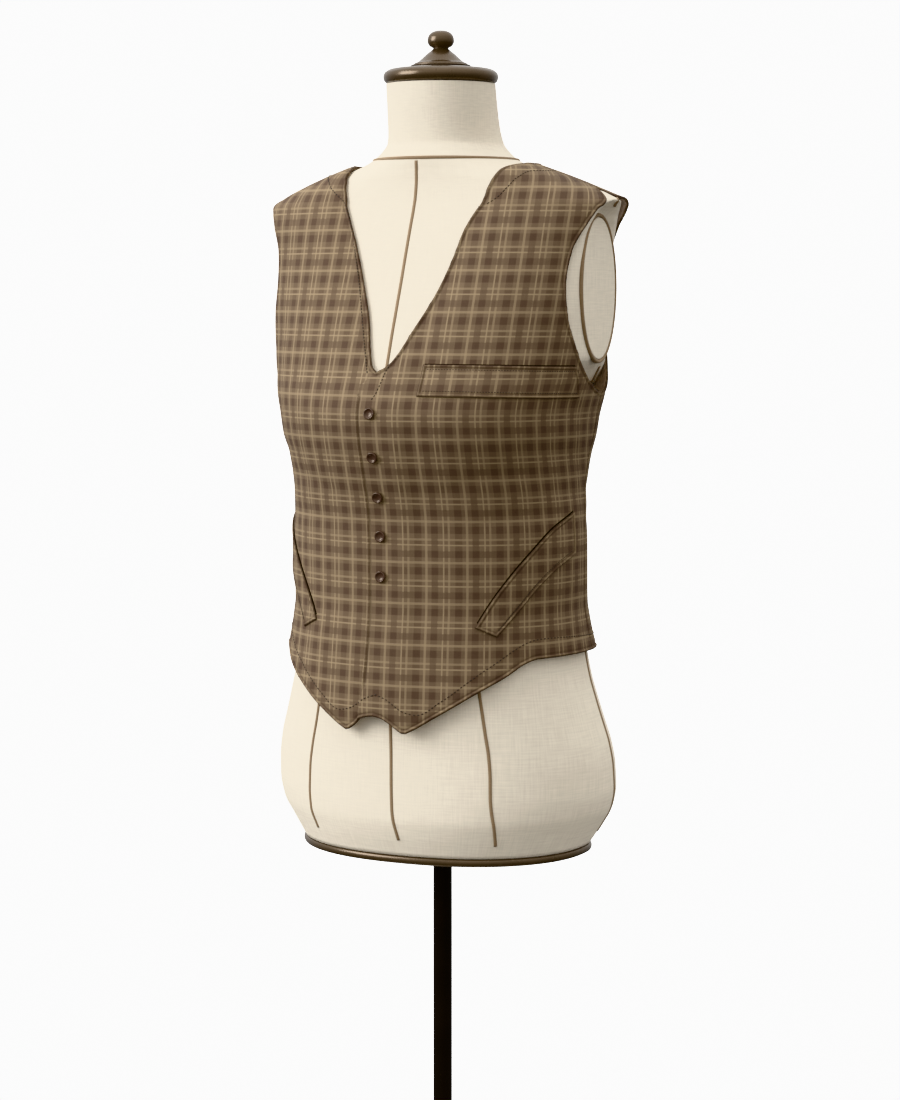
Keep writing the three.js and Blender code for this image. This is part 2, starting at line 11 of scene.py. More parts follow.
import bpy
import numpy as np
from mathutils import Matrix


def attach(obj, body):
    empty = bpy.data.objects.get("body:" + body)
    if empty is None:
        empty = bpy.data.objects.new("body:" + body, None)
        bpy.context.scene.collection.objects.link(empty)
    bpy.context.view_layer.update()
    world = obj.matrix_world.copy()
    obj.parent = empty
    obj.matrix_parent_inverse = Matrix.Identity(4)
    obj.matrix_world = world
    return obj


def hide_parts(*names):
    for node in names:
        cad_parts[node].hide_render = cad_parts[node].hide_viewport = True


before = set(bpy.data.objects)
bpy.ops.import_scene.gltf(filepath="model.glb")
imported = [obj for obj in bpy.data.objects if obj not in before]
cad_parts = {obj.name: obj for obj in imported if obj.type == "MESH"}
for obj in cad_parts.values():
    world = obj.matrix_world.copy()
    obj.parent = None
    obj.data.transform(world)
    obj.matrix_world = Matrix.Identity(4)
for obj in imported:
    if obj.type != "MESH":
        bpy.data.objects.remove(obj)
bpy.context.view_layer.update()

# %% [markdown]
# ## The camera
# The picture was taken from the wearer's left front, a little above the waist, with a long lens. The
# camera is placed by its turn round the form, its distance and its height. It is set first, so that
# every later step can be judged from the same place.

# %% Camera at the photograph's viewing angle
VIEW_TURN = math.radians(25)
VIEW_DISTANCE = 2.8
VIEW_HEIGHT = 1.24
VIEW_SLIDE = 0.00772
SENSOR_HEIGHT = 24.0

# In pixels of the photograph: its height, the lens's focal length, and how far above the middle the
# horizon lies
PHOTO_HEIGHT = 1100
FOCAL_LENGTH = 2720
HORIZON_ABOVE = 261


def add_camera():
    """Stands on a circle round the form's axis and looks at the axis, a few degrees down."""
    right = np.array([math.cos(VIEW_TURN), math.sin(VIEW_TURN), 0])
    away = np.array([math.sin(VIEW_TURN), -math.cos(VIEW_TURN), 0])
    data = bpy.data.cameras.new("photo_camera")
    data.sensor_fit = "VERTICAL"
    data.sensor_height = SENSOR_HEIGHT
    data.lens = SENSOR_HEIGHT * (FOCAL_LENGTH / PHOTO_HEIGHT)
    data.clip_end = 50
    camera = bpy.data.objects.new("photo_camera", data)
    camera.location = away * VIEW_DISTANCE + right * VIEW_SLIDE + np.array([0, 0, VIEW_HEIGHT])
    pitch = math.atan2(HORIZON_ABOVE, FOCAL_LENGTH)
    camera.rotation_euler = (math.pi / 2 - pitch, 0, VIEW_TURN)
    bpy.context.scene.collection.objects.link(camera)
    bpy.context.scene.camera = camera
    return camera


camera = add_camera()
print("camera at", [round(v, 3) for v in camera.location])

# %% [markdown]
# ## The figure
# A dress form is a stack of level sections. Each section is a rounded oval that is deeper in front than
# behind, so a table holds its half width, its two depths, how far back its widest point lies and how
# square it is. Everything else stands on this surface. The table is in millimetres, because tailors and
# form makers measure so, and the meshes are made in metres.

# %% Tables of the form and of the waistcoat's edges, in millimetres and degrees
MM = 0.001

# Level, half of the width, depth in front, depth behind, how far back the widest point is, squareness
FIGURE = np.array([
    (655, 143, 102, 101, 14, 2.2), (676, 156.3, 110.5, 107, 18.7, 2.2),
    (694, 167.5, 118, 113, 21.5, 2.2), (712, 177.5, 122.5, 117.5, 20, 2.2),
    (733, 181.5, 123, 119, 17.5, 2.2), (755, 181, 122.8, 118.5, 15.5, 2.2),
    (778, 177.5, 122.5, 116, 13, 2.2), (800, 171, 123.3, 112, 11, 2.2),
    (822, 164.5, 124, 108, 9, 2.2), (848, 157.5, 124.5, 103.5, 7, 2.2),
    (875, 153, 124.5, 99, 5, 2.2), (900, 150.5, 124, 94, 3.5, 2.2),
    (925, 149.8, 123, 88, 2.5, 2.2), (955, 150.5, 122.5, 81.5, 1.5, 2.2),
    (985, 150.8, 122.8, 76.5, 1.5, 2.2), (1010, 149.8, 124, 74.5, 2.5, 2.2),
    (1035, 149.2, 128.5, 75, 4, 2.2), (1055, 150.3, 134.5, 77, 5.5, 2.2),
    (1075, 153, 140, 80.5, 6.5, 2.25), (1095, 157.5, 144.5, 84.5, 7, 2.3),
    (1115, 160.5, 147, 87.5, 8, 2.3), (1135, 165, 141.5, 90, 9, 2.35),
    (1155, 169, 132.5, 92, 9, 2.35), (1175, 171.5, 125, 93.5, 8.5, 2.35),
    (1195, 173.5, 117.5, 94.5, 8, 2.35), (1220, 177.5, 107.5, 96, 7.5, 2.35),
    (1250, 180.5, 95.5, 95, 8, 2.35), (1280, 185, 84, 91, 8, 2.3),
    (1300, 189, 76, 88.5, 8, 2.3), (1312, 190.5, 71, 86.5, 8, 2.25),
    (1321, 189, 67.5, 85.5, 8, 2.25), (1330, 176, 64.5, 85, 8, 2.25),
    (1340, 155, 62.5, 84.5, 8.5, 2.2), (1350, 129, 61.5, 84, 8.5, 2.2),
    (1359, 103, 61.5, 83.5, 9, 2.1), (1366, 84, 62, 82.5, 9.5, 2.05),
    (1372, 73, 62, 81, 9.5, 2), (1379, 65, 57.5, 76, 9, 2),
    (1388, 59, 53, 70, 8, 2), (1402, 57, 54, 63, 4.5, 2),
    (1425, 56, 57, 57, 0, 2), (1448, 55.5, 59.3, 51.7, -3.8, 2),
])

# Each panel's edges: level, and the angle round from the centre front toward the panel's own side
LEFT_EDGE = np.array([
    (790, -10.4), (827, -9.4), (860, -8.7), (900, -8.2), (1090, -8.2), (1130, -8), (1140, -7.4), (1149, -5),
    (1157, -1.6), (1164, 1.8), (1200, 8.2), (1244, 14.1), (1272, 16.5), (1295, 17.8), (1315, 20.3),
    (1335, 26.2), (1344, 31.3), (1352, 39.2), (1359, 54), (1361.5, 73),
])
RIGHT_EDGE = np.array([
    (790, -3.4), (1130, -3.4), (1140, -2.6), (1149, -0.2), (1157, 2.6), (1164, 4.8), (1213, 8.9),
    (1238, 11.8), (1271, 15.7), (1301, 19.6), (1326, 24), (1344, 33), (1352, 41), (1359, 54), (1361.5, 73),
])
FRONT_ARMHOLE = np.array([
    (1137, 94), (1140, 87.5), (1145, 82.3), (1152, 77.6), (1170, 70.3), (1193, 64.4), (1211, 60.3),
    (1236, 57.3), (1255, 56.3), (1279, 57), (1291, 58.5), (1302, 60.9), (1311, 63.7), (1318, 67.1),
    (1324, 75.6), (1330, 82), (1337, 88),
])
BACK_ARMHOLE = np.array([
    (1137, 94), (1141, 101.5), (1148, 107.5), (1170, 116), (1193, 120.5), (1236, 123.2), (1262, 123.2),
    (1279, 124.3), (1298, 121.9), (1311, 117), (1320, 111.3), (1328, 94.1), (1337, 88),
])

# The hem: the angle to either side of the notch between the two points, and the level of the edge there
HEM = np.array([
    (0, 816.8), (3, 815), (7, 808.6), (10.4, 801.6), (11.5, 800.6), (12.6, 802), (22, 818.8),
    (35.5, 841.6), (46, 857), (55, 870.5), (60, 873.6), (75, 874), (184, 874),
])
CHEST_LEVEL = 1115.0
STEP_ROUND, STEP_UP = 0.1, 0.2
print("form from", FIGURE[0, 0], "to", FIGURE[-1, 0], "mm")


# %% Surfaces of the form and of the cloth
def through(rows, at, column=1):
    """A smooth curve through a table's first column and another, with no overshoot: between two rows it
    is a cubic, and its slope at a row is the harmonic mean of the steps before and after that row."""
    xs, ys = rows[:, 0], rows[:, column]
    steps = np.diff(ys) / np.diff(xs)
    before, after = steps[:-1], steps[1:]
    same_way = before * after > 0
    inner = np.where(same_way, 2 * before * after / np.where(same_way, before + after, 1), 0)
    slopes = np.concatenate([steps[:1], inner, steps[-1:]])
    x = np.clip(at, xs[0], xs[-1])
    i = np.clip(np.searchsorted(xs, x) - 1, 0, len(xs) - 2)
    width = xs[i + 1] - xs[i]
    t = (x - xs[i]) / width
    rise = ys[i] * (1 + 2 * t) * (1 - t) ** 2 + ys[i + 1] * t * t * (3 - 2 * t)
    return rise + width * (slopes[i] * t * (1 - t) ** 2 + slopes[i + 1] * t * t * (t - 1))


def smooth(low, high, value):
    """0 below low, 1 above high, and an S-shaped cubic between them."""
    t = np.clip((value - low) / (high - low), 0, 1)
    return t * t * (3 - 2 * t)


def unit(vectors):
    """Each vector divided by its own length."""
    return vectors / np.maximum(np.linalg.norm(vectors, axis=-1, keepdims=True), 1e-9)


def figure(angle, z):
    """Point of the level section at height z: a superellipse of the section's half width and of its front
    or back depth, measured from the widest point. Angle 0 is the centre front, +90 the wearer's left."""
    angle, z = np.broadcast_arrays(np.asarray(angle, float), np.asarray(z, float))
    s, c = np.sin(np.radians(angle)), np.cos(np.radians(angle))
    half, front, back, centre, square = (through(FIGURE, z, column) for column in range(1, 6))
    reach = (np.abs(s) ** square + np.abs(c) ** square) ** (-1 / square)
    depth = np.where(c > 0, front + centre, back - centre)
    return np.stack([half * reach * s, centre - depth * reach * c, z], axis=-1)


def outward(surface, angle, z):
    """Unit normal: the step round the section crossed with the step up it."""
    across = surface(angle + STEP_ROUND, z) - surface(angle - STEP_ROUND, z)
    up = surface(angle, z + STEP_UP) - surface(angle, z - STEP_UP)
    return unit(np.cross(across, up))


# The sides are cut off flat at this half width. Between the two levels of the hips the cut is let out
ARM_CUT = 168.5
ARM_CUT_SOFT = 1.0
HIPS_OUT, HIPS_LEVELS = 30, (900, 1000)
PLATE_HEIGHT, PLATE_WIDTH = 141.1, 85.2
PLATE_LEVEL, PLATE_BACK = 1240.6, 7.4
PLATE_MARGIN = (1, 8)
SHOULDER_LIFT = 5.5
SHOULDER_REACH, SHOULDER_LEVELS = (150, 176), (1306, 1321)

# How far the cut is hollowed out under the arm, and how far it flares out at the shoulder: level and depth
HOLLOW = np.array([(1088, 0), (1108, 14), (1126, 30), (1137, 33.2), (1143, 24.1), (1150, 17.7), (1157, 12),
                   (1164, 6.1), (1172, 0)])
SHOULDER_FLARE = np.array([(1262, 0), (1290, 2), (1305, 5.2), (1312, 8.4), (1318, 14.5), (1323, 20.5),
                           (1327, 22.5)])


def form(angle, z):
    """The figure, with its sides cut off flat at the arm plates: what is past the cut is taken back
    by soft * log(1 + exp(over / soft)), a corner with a small round. Past the plate the cut flares out
    to the shoulder's end, which is lifted a little, below the plate it is hollowed, and the hips are
    left full."""
    point = figure(angle, z)
    y, level = point[..., 1] - PLATE_BACK, point[..., 2]
    from_plate = (np.hypot(y / PLATE_WIDTH, (level - PLATE_LEVEL) / PLATE_HEIGHT) - 0.5) * PLATE_WIDTH
    flare = through(SHOULDER_FLARE, level) * smooth(*PLATE_MARGIN, from_plate)
    reach = np.abs(point[..., 0])
    lift = SHOULDER_LIFT * smooth(*SHOULDER_REACH, reach) * smooth(*SHOULDER_LEVELS, level)
    hips = HIPS_OUT * (1 - smooth(*HIPS_LEVELS, level))
    over = reach - (ARM_CUT + flare + hips - through(HOLLOW, level))
    point[..., 0] -= np.sign(point[..., 0]) * ARM_CUT_SOFT * np.logaddexp(0, over / ARM_CUT_SOFT)
    point[..., 2] += lift
    return point


chest_steps = np.diff(figure(np.linspace(0, 360, 361), CHEST_LEVEL), axis=0)
print("chest girth", round(float(np.linalg.norm(chest_steps, axis=1).sum())), "mm")

# %% [markdown]
# ## How the cloth stands off the form
# A waistcoat is not skin-tight. It has a few millimetres of ease everywhere, flares a little at the hem,
# and its back stands away at the shoulder ends. On top of that lie the soft creases that wear and
# pressing leave. A cloth simulation would iron them out on so close a fit, so each crease is listed:
# a line on the cloth, a width and a height, negative for a trough.

# %% Ease, lap and creases
WALL = 2.0
EASE = 5.5
FLARE_LEVEL, FLARE_OVER, FLARE_MOST = 920, 60, 1.6
FLARE_ALL, FLARE_SIDE, FLARE_AHEAD = 1.5, 5, 3
WING_RISE, WING_ANGLE, WING_LEVEL = 6.35, 106.7, 1314.1
WING_TURN, WING_BELOW, WING_ABOVE = 9.3, 17.5, 14.7
NECK_CLOSE, NECK_SPREAD, NECK_FROM = 1.9, (0, 10), (1150, 1180)
LAP_LIFT = 2.7
LAP_ANGLES = (5, 14)
FIGURE_RADIUS = 150
CREASE_BOW = 0.06
CREASE_FULL, CREASE_FADE = 0.3, 0.25

# Angle and level of one end, angle and level of the other, width in mm, height in mm
CREASES = np.array([
    (-52, 1052, -20, 1040, 9, -0.9), (-60, 1010, -28, 1012, 8, -0.7), (-70, 1068, -44, 1080, 10, -0.8),
    (24, 1046, 58, 1058, 9, -0.8), (34, 1008, 72, 1016, 10, -0.9), (50, 1086, 84, 1068, 9, -0.8),
    (62, 1040, 88, 1030, 7, -0.6), (-88, 1032, -66, 1038, 7, -0.7), (76, 1120, 52, 1160, 10, -0.7),
    (-78, 1122, -56, 1158, 9, -0.7), (38, 1240, 46, 1180, 14, -0.8), (-42, 1250, -48, 1186, 13, -0.7),
    (100, 1040, 146, 1026, 10, -1.1), (104, 1010, 150, 1000, 8, -0.8), (108, 1072, 140, 1052, 10, -0.8),
    (-102, 1036, -142, 1030, 10, -1.0), (-106, 1068, -152, 1050, 9, -0.9), (-110, 1002, -138, 998, 8, -0.8),
    (170, 1060, -172, 1052, 12, -0.8), (150, 1090, 172, 1104, 13, 0.7), (-168, 1018, -146, 1014, 9, -0.7),
    (112, 1150, 128, 1196, 12, -0.9), (-112, 1148, -130, 1200, 12, -0.9), (148, 1320, 162, 1262, 16, 0.7),
    (-150, 1318, -160, 1256, 15, 0.7), (176, 930, 168, 878, 14, 0.8), (-160, 925, -152, 878, 13, 0.8),
    (28, 905, 34, 858, 15, 0.6), (-30, 900, -34, 858, 14, 0.6),
])


def creases(angle, z):
    """Sum of soft troughs and ridges: each is a bell across its slightly bowed line, and fades out toward
    and past the line's ends."""
    total = np.zeros(np.broadcast(angle, z).shape)
    for angle_a, z_a, angle_b, z_b, width, height in CREASES:
        span = (angle_b - angle_a + 180) % 360 - 180
        x = np.radians((angle - angle_a + 180) % 360 - 180) * FIGURE_RADIUS
        run = np.array([np.radians(span) * FIGURE_RADIUS, z_b - z_a])
        length = np.hypot(*run)
        along = (x * run[0] + (z - z_a) * run[1]) / length
        across = ((z - z_a) * run[0] - x * run[1]) / length
        bow = across - CREASE_BOW * length * np.sin(np.pi * np.clip(along / length, 0, 1))
        past = np.clip(np.abs(along / length - 0.5) - CREASE_FULL, 0, None)
        fade = np.exp(-(past / CREASE_FADE) ** 2)
        total += height * fade * np.exp(-(bow / width) ** 2)
    return total


def ease(angle, z):
    """How far the cloth's outer face stands off the figure: the ease, the flare toward the hem, the
    wings at the back's shoulder ends and the creases. Along the neckline the cloth lies closer."""
    side = np.sin(np.radians(angle)) ** 2
    ahead = np.maximum(np.cos(np.radians(angle)), 0) ** 2
    flare = FLARE_ALL + FLARE_SIDE * side + FLARE_AHEAD * ahead
    flare = flare * np.clip((FLARE_LEVEL - z) / FLARE_OVER, 0, FLARE_MOST)
    turn = (np.abs(angle) - WING_ANGLE) / WING_TURN
    up = (z - WING_LEVEL) / np.where(z > WING_LEVEL, WING_ABOVE, WING_BELOW)
    wing = WING_RISE * np.exp(-turn ** 2 - up ** 2)
    from_neck = np.abs(angle) - through(LEFT_EDGE, z)
    close = NECK_CLOSE * (1 - smooth(*NECK_SPREAD, from_neck)) * smooth(*NECK_FROM, z)
    return EASE + flare + wing - close + creases(angle, z)


def cloth(angle, z, off=0.0):
    """The cloth's outer face, moved out along the figure's normal by off."""
    stand = ease(angle, z) + off
    return figure(angle, z) + outward(figure, angle, z) * stand[..., None]


def left_cloth(angle, z, off=0.0):
    """The left front is lifted where it laps over the right one."""
    return cloth(angle, z, off + LAP_LIFT * (1 - smooth(*LAP_ANGLES, angle)))


GIRTH_TURN, GIRTH_RISE = 0.5, 2.0
GIRTH_ANGLES = np.arange(-184.0, 184.5, GIRTH_TURN)
GIRTH_LEVELS = np.arange(786.0, 1366.0, GIRTH_RISE)
GIRTH_FLARE = 1.6
WAIST_LEVEL = 1010.0
JUST_UNDER = 1.001


def girth_table():
    """Length round the cloth from the centre front to each angle, at each level: sums of short chords."""
    points = figure(GIRTH_ANGLES[None, :], GIRTH_LEVELS[:, None])
    flare = GIRTH_FLARE * np.clip((FLARE_LEVEL - GIRTH_LEVELS) / FLARE_OVER, 0, FLARE_MOST)
    plain = (EASE + flare)[:, None, None]
    points = points + outward(figure, GIRTH_ANGLES[None, :], GIRTH_LEVELS[:, None]) * plain
    chords = np.linalg.norm(np.diff(points, axis=1), axis=2)
    sums = np.concatenate([np.zeros((len(GIRTH_LEVELS), 1)), np.cumsum(chords, axis=1)], axis=1)
    middle = np.searchsorted(GIRTH_ANGLES, 0)
    return sums - sums[:, middle:middle + 1]


GIRTH = girth_table()


def girth(angle, z):
    """The girth table read between its own angles and levels."""
    a = np.clip((angle - GIRTH_ANGLES[0]) / GIRTH_TURN, 0, len(GIRTH_ANGLES) - JUST_UNDER)
    b = np.clip((z - GIRTH_LEVELS[0]) / GIRTH_RISE, 0, len(GIRTH_LEVELS) - JUST_UNDER)
    i, j = a.astype(int), b.astype(int)
    s, t = a - i, b - j
    low = GIRTH[j, i] * (1 - s) + GIRTH[j, i + 1] * s
    high = GIRTH[j + 1, i] * (1 - s) + GIRTH[j + 1, i + 1] * s
    return low * (1 - t) + high * t


print("half the waist is", round(float(girth(np.array(180.0), np.array(WAIST_LEVEL)))), "mm of cloth")

# %% [markdown]
# ## From grids to meshes
# One helper turns a grid of points into a mesh. A panel of cloth is closed: its outer and its inner face
# are two grids that share their rim, so no edge is left open and the wall has its real thickness. Its
# edge attribute carries painted shade on the rolled rim and in the dips beside the edges, and a second
# attribute paints light on the inner face, where the form shades it.


# %% Mesh helpers
# The UV map's and the two attributes' names (painted edge shade, painted inner light), and how much of the
# painted edge shade the inner face takes
UV_MAP = "cloth"
EDGE_SHADE_ATTRIBUTE, INNER_LIGHT_ATTRIBUTE = "edge", "inner_painted_light"
INNER_EDGE_SHADE_SHARE = 0.3


def grid_quads(rows, columns, wrap_rows=False, wrap_columns=False):
    """Quads of a grid, by vertex number, turned so that rows x columns faces outward."""
    number = np.arange(rows * columns).reshape(rows, columns)
    if wrap_rows:
        number = np.vstack([number, number[:1]])
    if wrap_columns:
        number = np.hstack([number, number[:, :1]])
    corners = [number[:-1, :-1], number[:-1, 1:], number[1:, 1:], number[1:, :-1]]
    return np.stack(corners, axis=-1).reshape(-1, 4)


def end_fans(rows, columns):
    """Triangles from the middle of the first and of the last ring of a stack to the ring's sides. The two
    middles are the points that follow the stack's own."""
    first = np.arange(columns)
    after = (first + 1) % columns
    middle = np.full(columns, rows * columns)
    last = (rows - 1) * columns
    return np.concatenate([np.stack([middle, after, first], axis=1),
                           np.stack([middle + 1, first + last, after + last], axis=1)])


def with_middles(rings):
    """The points of a stack of rings, and after them the middles of its first and last ring."""
    return np.concatenate([rings.reshape(-1, 3), rings[:1].mean(axis=1), rings[-1:].mean(axis=1)])


def read(rows, field, kind, width=1):
    """One field of a mesh's vertices, corners or faces as an array."""
    values = np.zeros(len(rows) * width, kind)
    rows.foreach_get(field, values)
    return values.reshape(-1, width) if width > 1 else values


def lay_uv(mesh, places):
    """A UV map from a place in metres of cloth for each corner of the faces."""
    layer = mesh.uv_layers.new(name=UV_MAP)
    layer.data.foreach_set("uv", np.asarray(places, np.float32).ravel())


def add_values(mesh, label, values):
    """An attribute with one value for each point."""
    attribute = mesh.attributes.new(label, "FLOAT", "POINT")
    attribute.data.foreach_set("value", np.asarray(values, np.float32).ravel())


def new_mesh(name, points, quads, tris=(), uv=None):
    """A mesh object from points in millimetres, quads and triangles by vertex number, and an optional UV
    per vertex in metres."""
    quads = np.asarray(quads, dtype=np.int32).reshape(-1, 4)
    tris = np.asarray(tris, dtype=np.int32).reshape(-1, 3)
    corners = np.concatenate([quads.ravel(), tris.ravel()]).astype(np.int32)
    totals = np.concatenate([np.full(len(quads), 4), np.full(len(tris), 3)]).astype(np.int32)
    mesh = bpy.data.meshes.new(name)
    mesh.vertices.add(len(points))
    mesh.vertices.foreach_set("co", (np.asarray(points, float) * MM).astype(np.float32).ravel())
    mesh.loops.add(len(corners))
    mesh.loops.foreach_set("vertex_index", corners)
    mesh.polygons.add(len(totals))
    mesh.polygons.foreach_set("loop_start", (np.cumsum(totals) - totals).astype(np.int32))
    mesh.polygons.foreach_set("use_smooth", np.ones(len(totals), dtype=bool))
    mesh.update(calc_edges=True)
    if uv is not None:
        lay_uv(mesh, uv[corners])
    mesh.validate()
    thing = bpy.data.objects.new(name, mesh)
    bpy.context.scene.collection.objects.link(thing)
    return thing


def closed_sheet(name, outer, inner, uv, edge, inner_light):
    """A wall from two grids of the same size whose rims coincide: the inner grid uses the outer one's
    rim points, and its quads are turned to face the other way. The edge array is painted shade near a
    finished edge. The last array says how much painted light each inner point gets, where the form
    shades the inner face."""
    rows, columns = outer.shape[:2]
    count = rows * columns
    quads = grid_quads(rows, columns)
    inside = np.zeros((rows, columns), dtype=bool)
    inside[1:-1, 1:-1] = True
    number = np.arange(count).reshape(rows, columns)
    number[inside] = count + np.arange(inside.sum())
    back = number.ravel()[quads][:, ::-1]
    points = np.concatenate([outer.reshape(-1, 3), inner[inside]])
    all_uv = np.concatenate([uv.reshape(-1, 2), uv[inside]])
    sheet = new_mesh(name, points, np.concatenate([quads, back]), uv=all_uv)
    # Painted shade along the rims and dips, and painted light on the inner face, as point attributes
    add_values(sheet.data, EDGE_SHADE_ATTRIBUTE, np.concatenate([edge.ravel(), INNER_EDGE_SHADE_SHARE * edge[inside]]))
    add_values(sheet.data, INNER_LIGHT_ATTRIBUTE, np.concatenate([np.zeros(count), inner_light[inside]]))
    return sheet


def finish_piece(thing, material, slot, *nodes):
    """Gives a piece its material and its place on the one body, and hides the imported parts named by
    nodes. slot is not used.
    """
    thing.data.materials.append(material)
    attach(thing, "root")
    if nodes:
        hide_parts(*nodes)
    return thing


def triangles(thing):
    """How many triangles a mesh has when each face is cut into triangles."""
    return sum(len(face.vertices) - 2 for face in thing.data.polygons)


print("mesh helpers ready")

# %% [markdown]
# ## Shader groups that several finishes share
# Wool, linen, tape and thread are all woven or spun, and differ in scale. One group makes a plain or
# twill weave from two sets of ribs and gives a height and a yarn tone. A second group gives soft patches
# of tone, such as old varnish, rubbed paint or unevenly dyed yarn.


# %% Node helpers and the weave group
WEFT_HEIGHT = 0.8
YARN_STRETCH, YARN_SCALE = 0.06, 620.0


def link(tree, source, target):
    tree.links.new(source, target)


def set_inputs(tree, node, inputs):
    """Links each socket that is given to the input of that name or number, and sets the other values."""
    for name, value in inputs.items():
        if isinstance(value, bpy.types.NodeSocket):
            link(tree, value, node.inputs[name])
        else:
            node.inputs[name].default_value = value


def add(tree, kind, **settings):
    """A node with its settings and, for keys that name inputs, its values or links."""
    made = tree.nodes.new(kind)
    inputs = settings.pop("inputs", {})
    for name, value in settings.items():
        setattr(made, name, value)
    set_inputs(tree, made, inputs)
    return made


def maths(tree, operation, *values, clamp=False):
    """A math node's output, from numbers or sockets."""
    made = add(tree, "ShaderNodeMath", operation=operation, use_clamp=clamp, inputs=dict(enumerate(values)))
    return made.outputs[0]


def uneven(tree, value, share):
    """A share of how far a value is from its middle, 0.5."""
    return maths(tree, "MULTIPLY", maths(tree, "SUBTRACT", value, 0.5), share)


def blend_colours(tree, share, first, second):
    """A colour mix, from colours or sockets."""
    made = add(tree, "ShaderNodeMix", data_type="RGBA", clamp_factor=True,
               inputs={0: share, 6: first, 7: second})
    return made.outputs[2]


def new_group(name, inputs, outputs):
    """A shader group with float, vector or colour sockets."""
    group = bpy.data.node_groups.new(name, "ShaderNodeTree")
    for side, sockets in (("INPUT", inputs), ("OUTPUT", outputs)):
        for label, kind, value in sockets:
            socket = group.interface.new_socket(name=label, in_out=side, socket_type="NodeSocket" + kind)
            if value is not None:
                socket.default_value = value
    return group, group.nodes.new("NodeGroupInput"), group.nodes.new("NodeGroupOutput")


def make_weave_group():
    """Two sets of ribs, sin(2 pi x) and sin(2 pi y) of the place divided by the pitch, leaned by a twill
    share. The higher of the two is on top. A stretched noise makes thick and thin yarns."""
    group, given, result = new_group("weave", [
        ("Place", "Vector", None), ("Pitch mm", "Float", 1.0),
        ("Twill", "Float", 0.0), ("Slub", "Float", 0.3),
    ], [("Height", "Float", None), ("Tone", "Float", None)])
    split = add(group, "ShaderNodeSeparateXYZ", inputs={0: given.outputs["Place"]})
    pitch = maths(group, "MULTIPLY", given.outputs["Pitch mm"], MM)
    x = maths(group, "DIVIDE", split.outputs[0], pitch)
    y = maths(group, "DIVIDE", split.outputs[1], pitch)
    lean = maths(group, "MULTIPLY", y, given.outputs["Twill"])
    warp = maths(group, "SINE", maths(group, "MULTIPLY", maths(group, "ADD", x, lean), 2 * math.pi))
    weft = maths(group, "SINE", maths(group, "MULTIPLY", y, 2 * math.pi))
    top = maths(group, "MAXIMUM", warp, maths(group, "MULTIPLY", weft, WEFT_HEIGHT))
    tones = []
    for stretch in ((YARN_STRETCH, 1.0, 1.0), (1.0, YARN_STRETCH, 1.0)):
        moved = add(group, "ShaderNodeVectorMath", operation="MULTIPLY",
                    inputs={0: given.outputs["Place"], 1: stretch})
        noise = add(group, "ShaderNodeTexNoise",
                    inputs={"Vector": moved.outputs[0], "Scale": YARN_SCALE, "Detail": 2.0})
        tones.append(noise.outputs["Fac"])
    tone = maths(group, "MULTIPLY", maths(group, "ADD", *tones), 0.5)
    slub = uneven(group, tone, given.outputs["Slub"])
    link(group, maths(group, "ADD", maths(group, "MULTIPLY", top, 0.5), slub), result.inputs["Height"])
    link(group, tone, result.inputs["Tone"])
    return group


def make_patch_group():
    """Broad and fine noise on the object's own coordinates, as one value round 0.5."""
    group, given, result = new_group("patches", [("Size mm", "Float", 60.0), ("Contrast", "Float", 1.0)],
                                     [("Value", "Float", None)])
    place = add(group, "ShaderNodeTexCoord").outputs["Object"]
    scale = maths(group, "DIVIDE", 1000.0, given.outputs["Size mm"])
    noise = add(group, "ShaderNodeTexNoise", inputs={"Vector": place, "Scale": scale, "Detail": 4.0})
    away = uneven(group, noise.outputs["Fac"], given.outputs["Contrast"])
    link(group, maths(group, "ADD", away, 0.5, clamp=True), result.inputs["Value"])
    return group


weave_group = make_weave_group()
patch_group = make_patch_group()


def use_group(tree, group, **inputs):
    """A shader group placed in a material, with its own values."""
    made = tree.nodes.new("ShaderNodeGroup")
    made.node_tree = group
    set_inputs(tree, made, {name.replace("_", " "): value for name, value in inputs.items()})
    return made


def new_material(name, **constants):
    """A material with one Principled shader whose constants are set on its own sockets."""
    material = bpy.data.materials.new(name)
    material.use_nodes = True
    tree = material.node_tree
    tree.nodes.clear()
    shader = tree.nodes.new("ShaderNodeBsdfPrincipled")
    output = tree.nodes.new("ShaderNodeOutputMaterial")
    link(tree, shader.outputs[0], output.inputs["Surface"])
    for socket, value in constants.items():
        shader.inputs[socket.replace("_", " ")].default_value = value
    return material, tree, shader


def add_bump(tree, shader, height, distance_mm):
    bump = add(tree, "ShaderNodeBump",
               inputs={"Height": height, "Distance": distance_mm * MM, "Strength": 1.0})
    link(tree, bump.outputs[0], shader.inputs["Normal"])


def roughen(tree, shader, tone, least, more):
    """Roughness that starts at least and rises by a share of the tone."""
    link(tree, maths(tree, "ADD", least, maths(tree, "MULTIPLY", tone, more)), shader.inputs["Roughness"])


print("shader groups:", [group.name for group in (weave_group, patch_group)])

# %% [markdown]
# ## The checked wool
# One repeat is 41 mm: a light band with a bright pinstripe and a soft stripe, a dark block, a second
# light band with a broad soft stripe, and a second dark block. It could be painted, but charting one
# direction as a colour ramp and using it twice, once across and once up, is how it is woven. Where the
# two meet, the tones screen each other. The second dark block also hides the fine stripes that cross
# it.

# %% Chart of the check and the wool
REPEAT = 40.95
WARP_START = 17.8
WEFT_START = 1029.75
WOOL_DARK = (0.103, 0.071, 0.052, 1)
WOOL_TAN = (0.338, 0.259, 0.166, 1)
# Colour of the painted shade on the rolled rims, in the dips and along the seams
WOOL_EDGE_SHADE = (0.055, 0.038, 0.029, 1)
# A pale colour painted on the inner face as light that the form blocks, and its share
INNER_LIGHT_COLOUR = (0.84, 0.72, 0.63, 1)
INNER_LIGHT_SHARE = 0.85
CHART_LEAD = 0.13

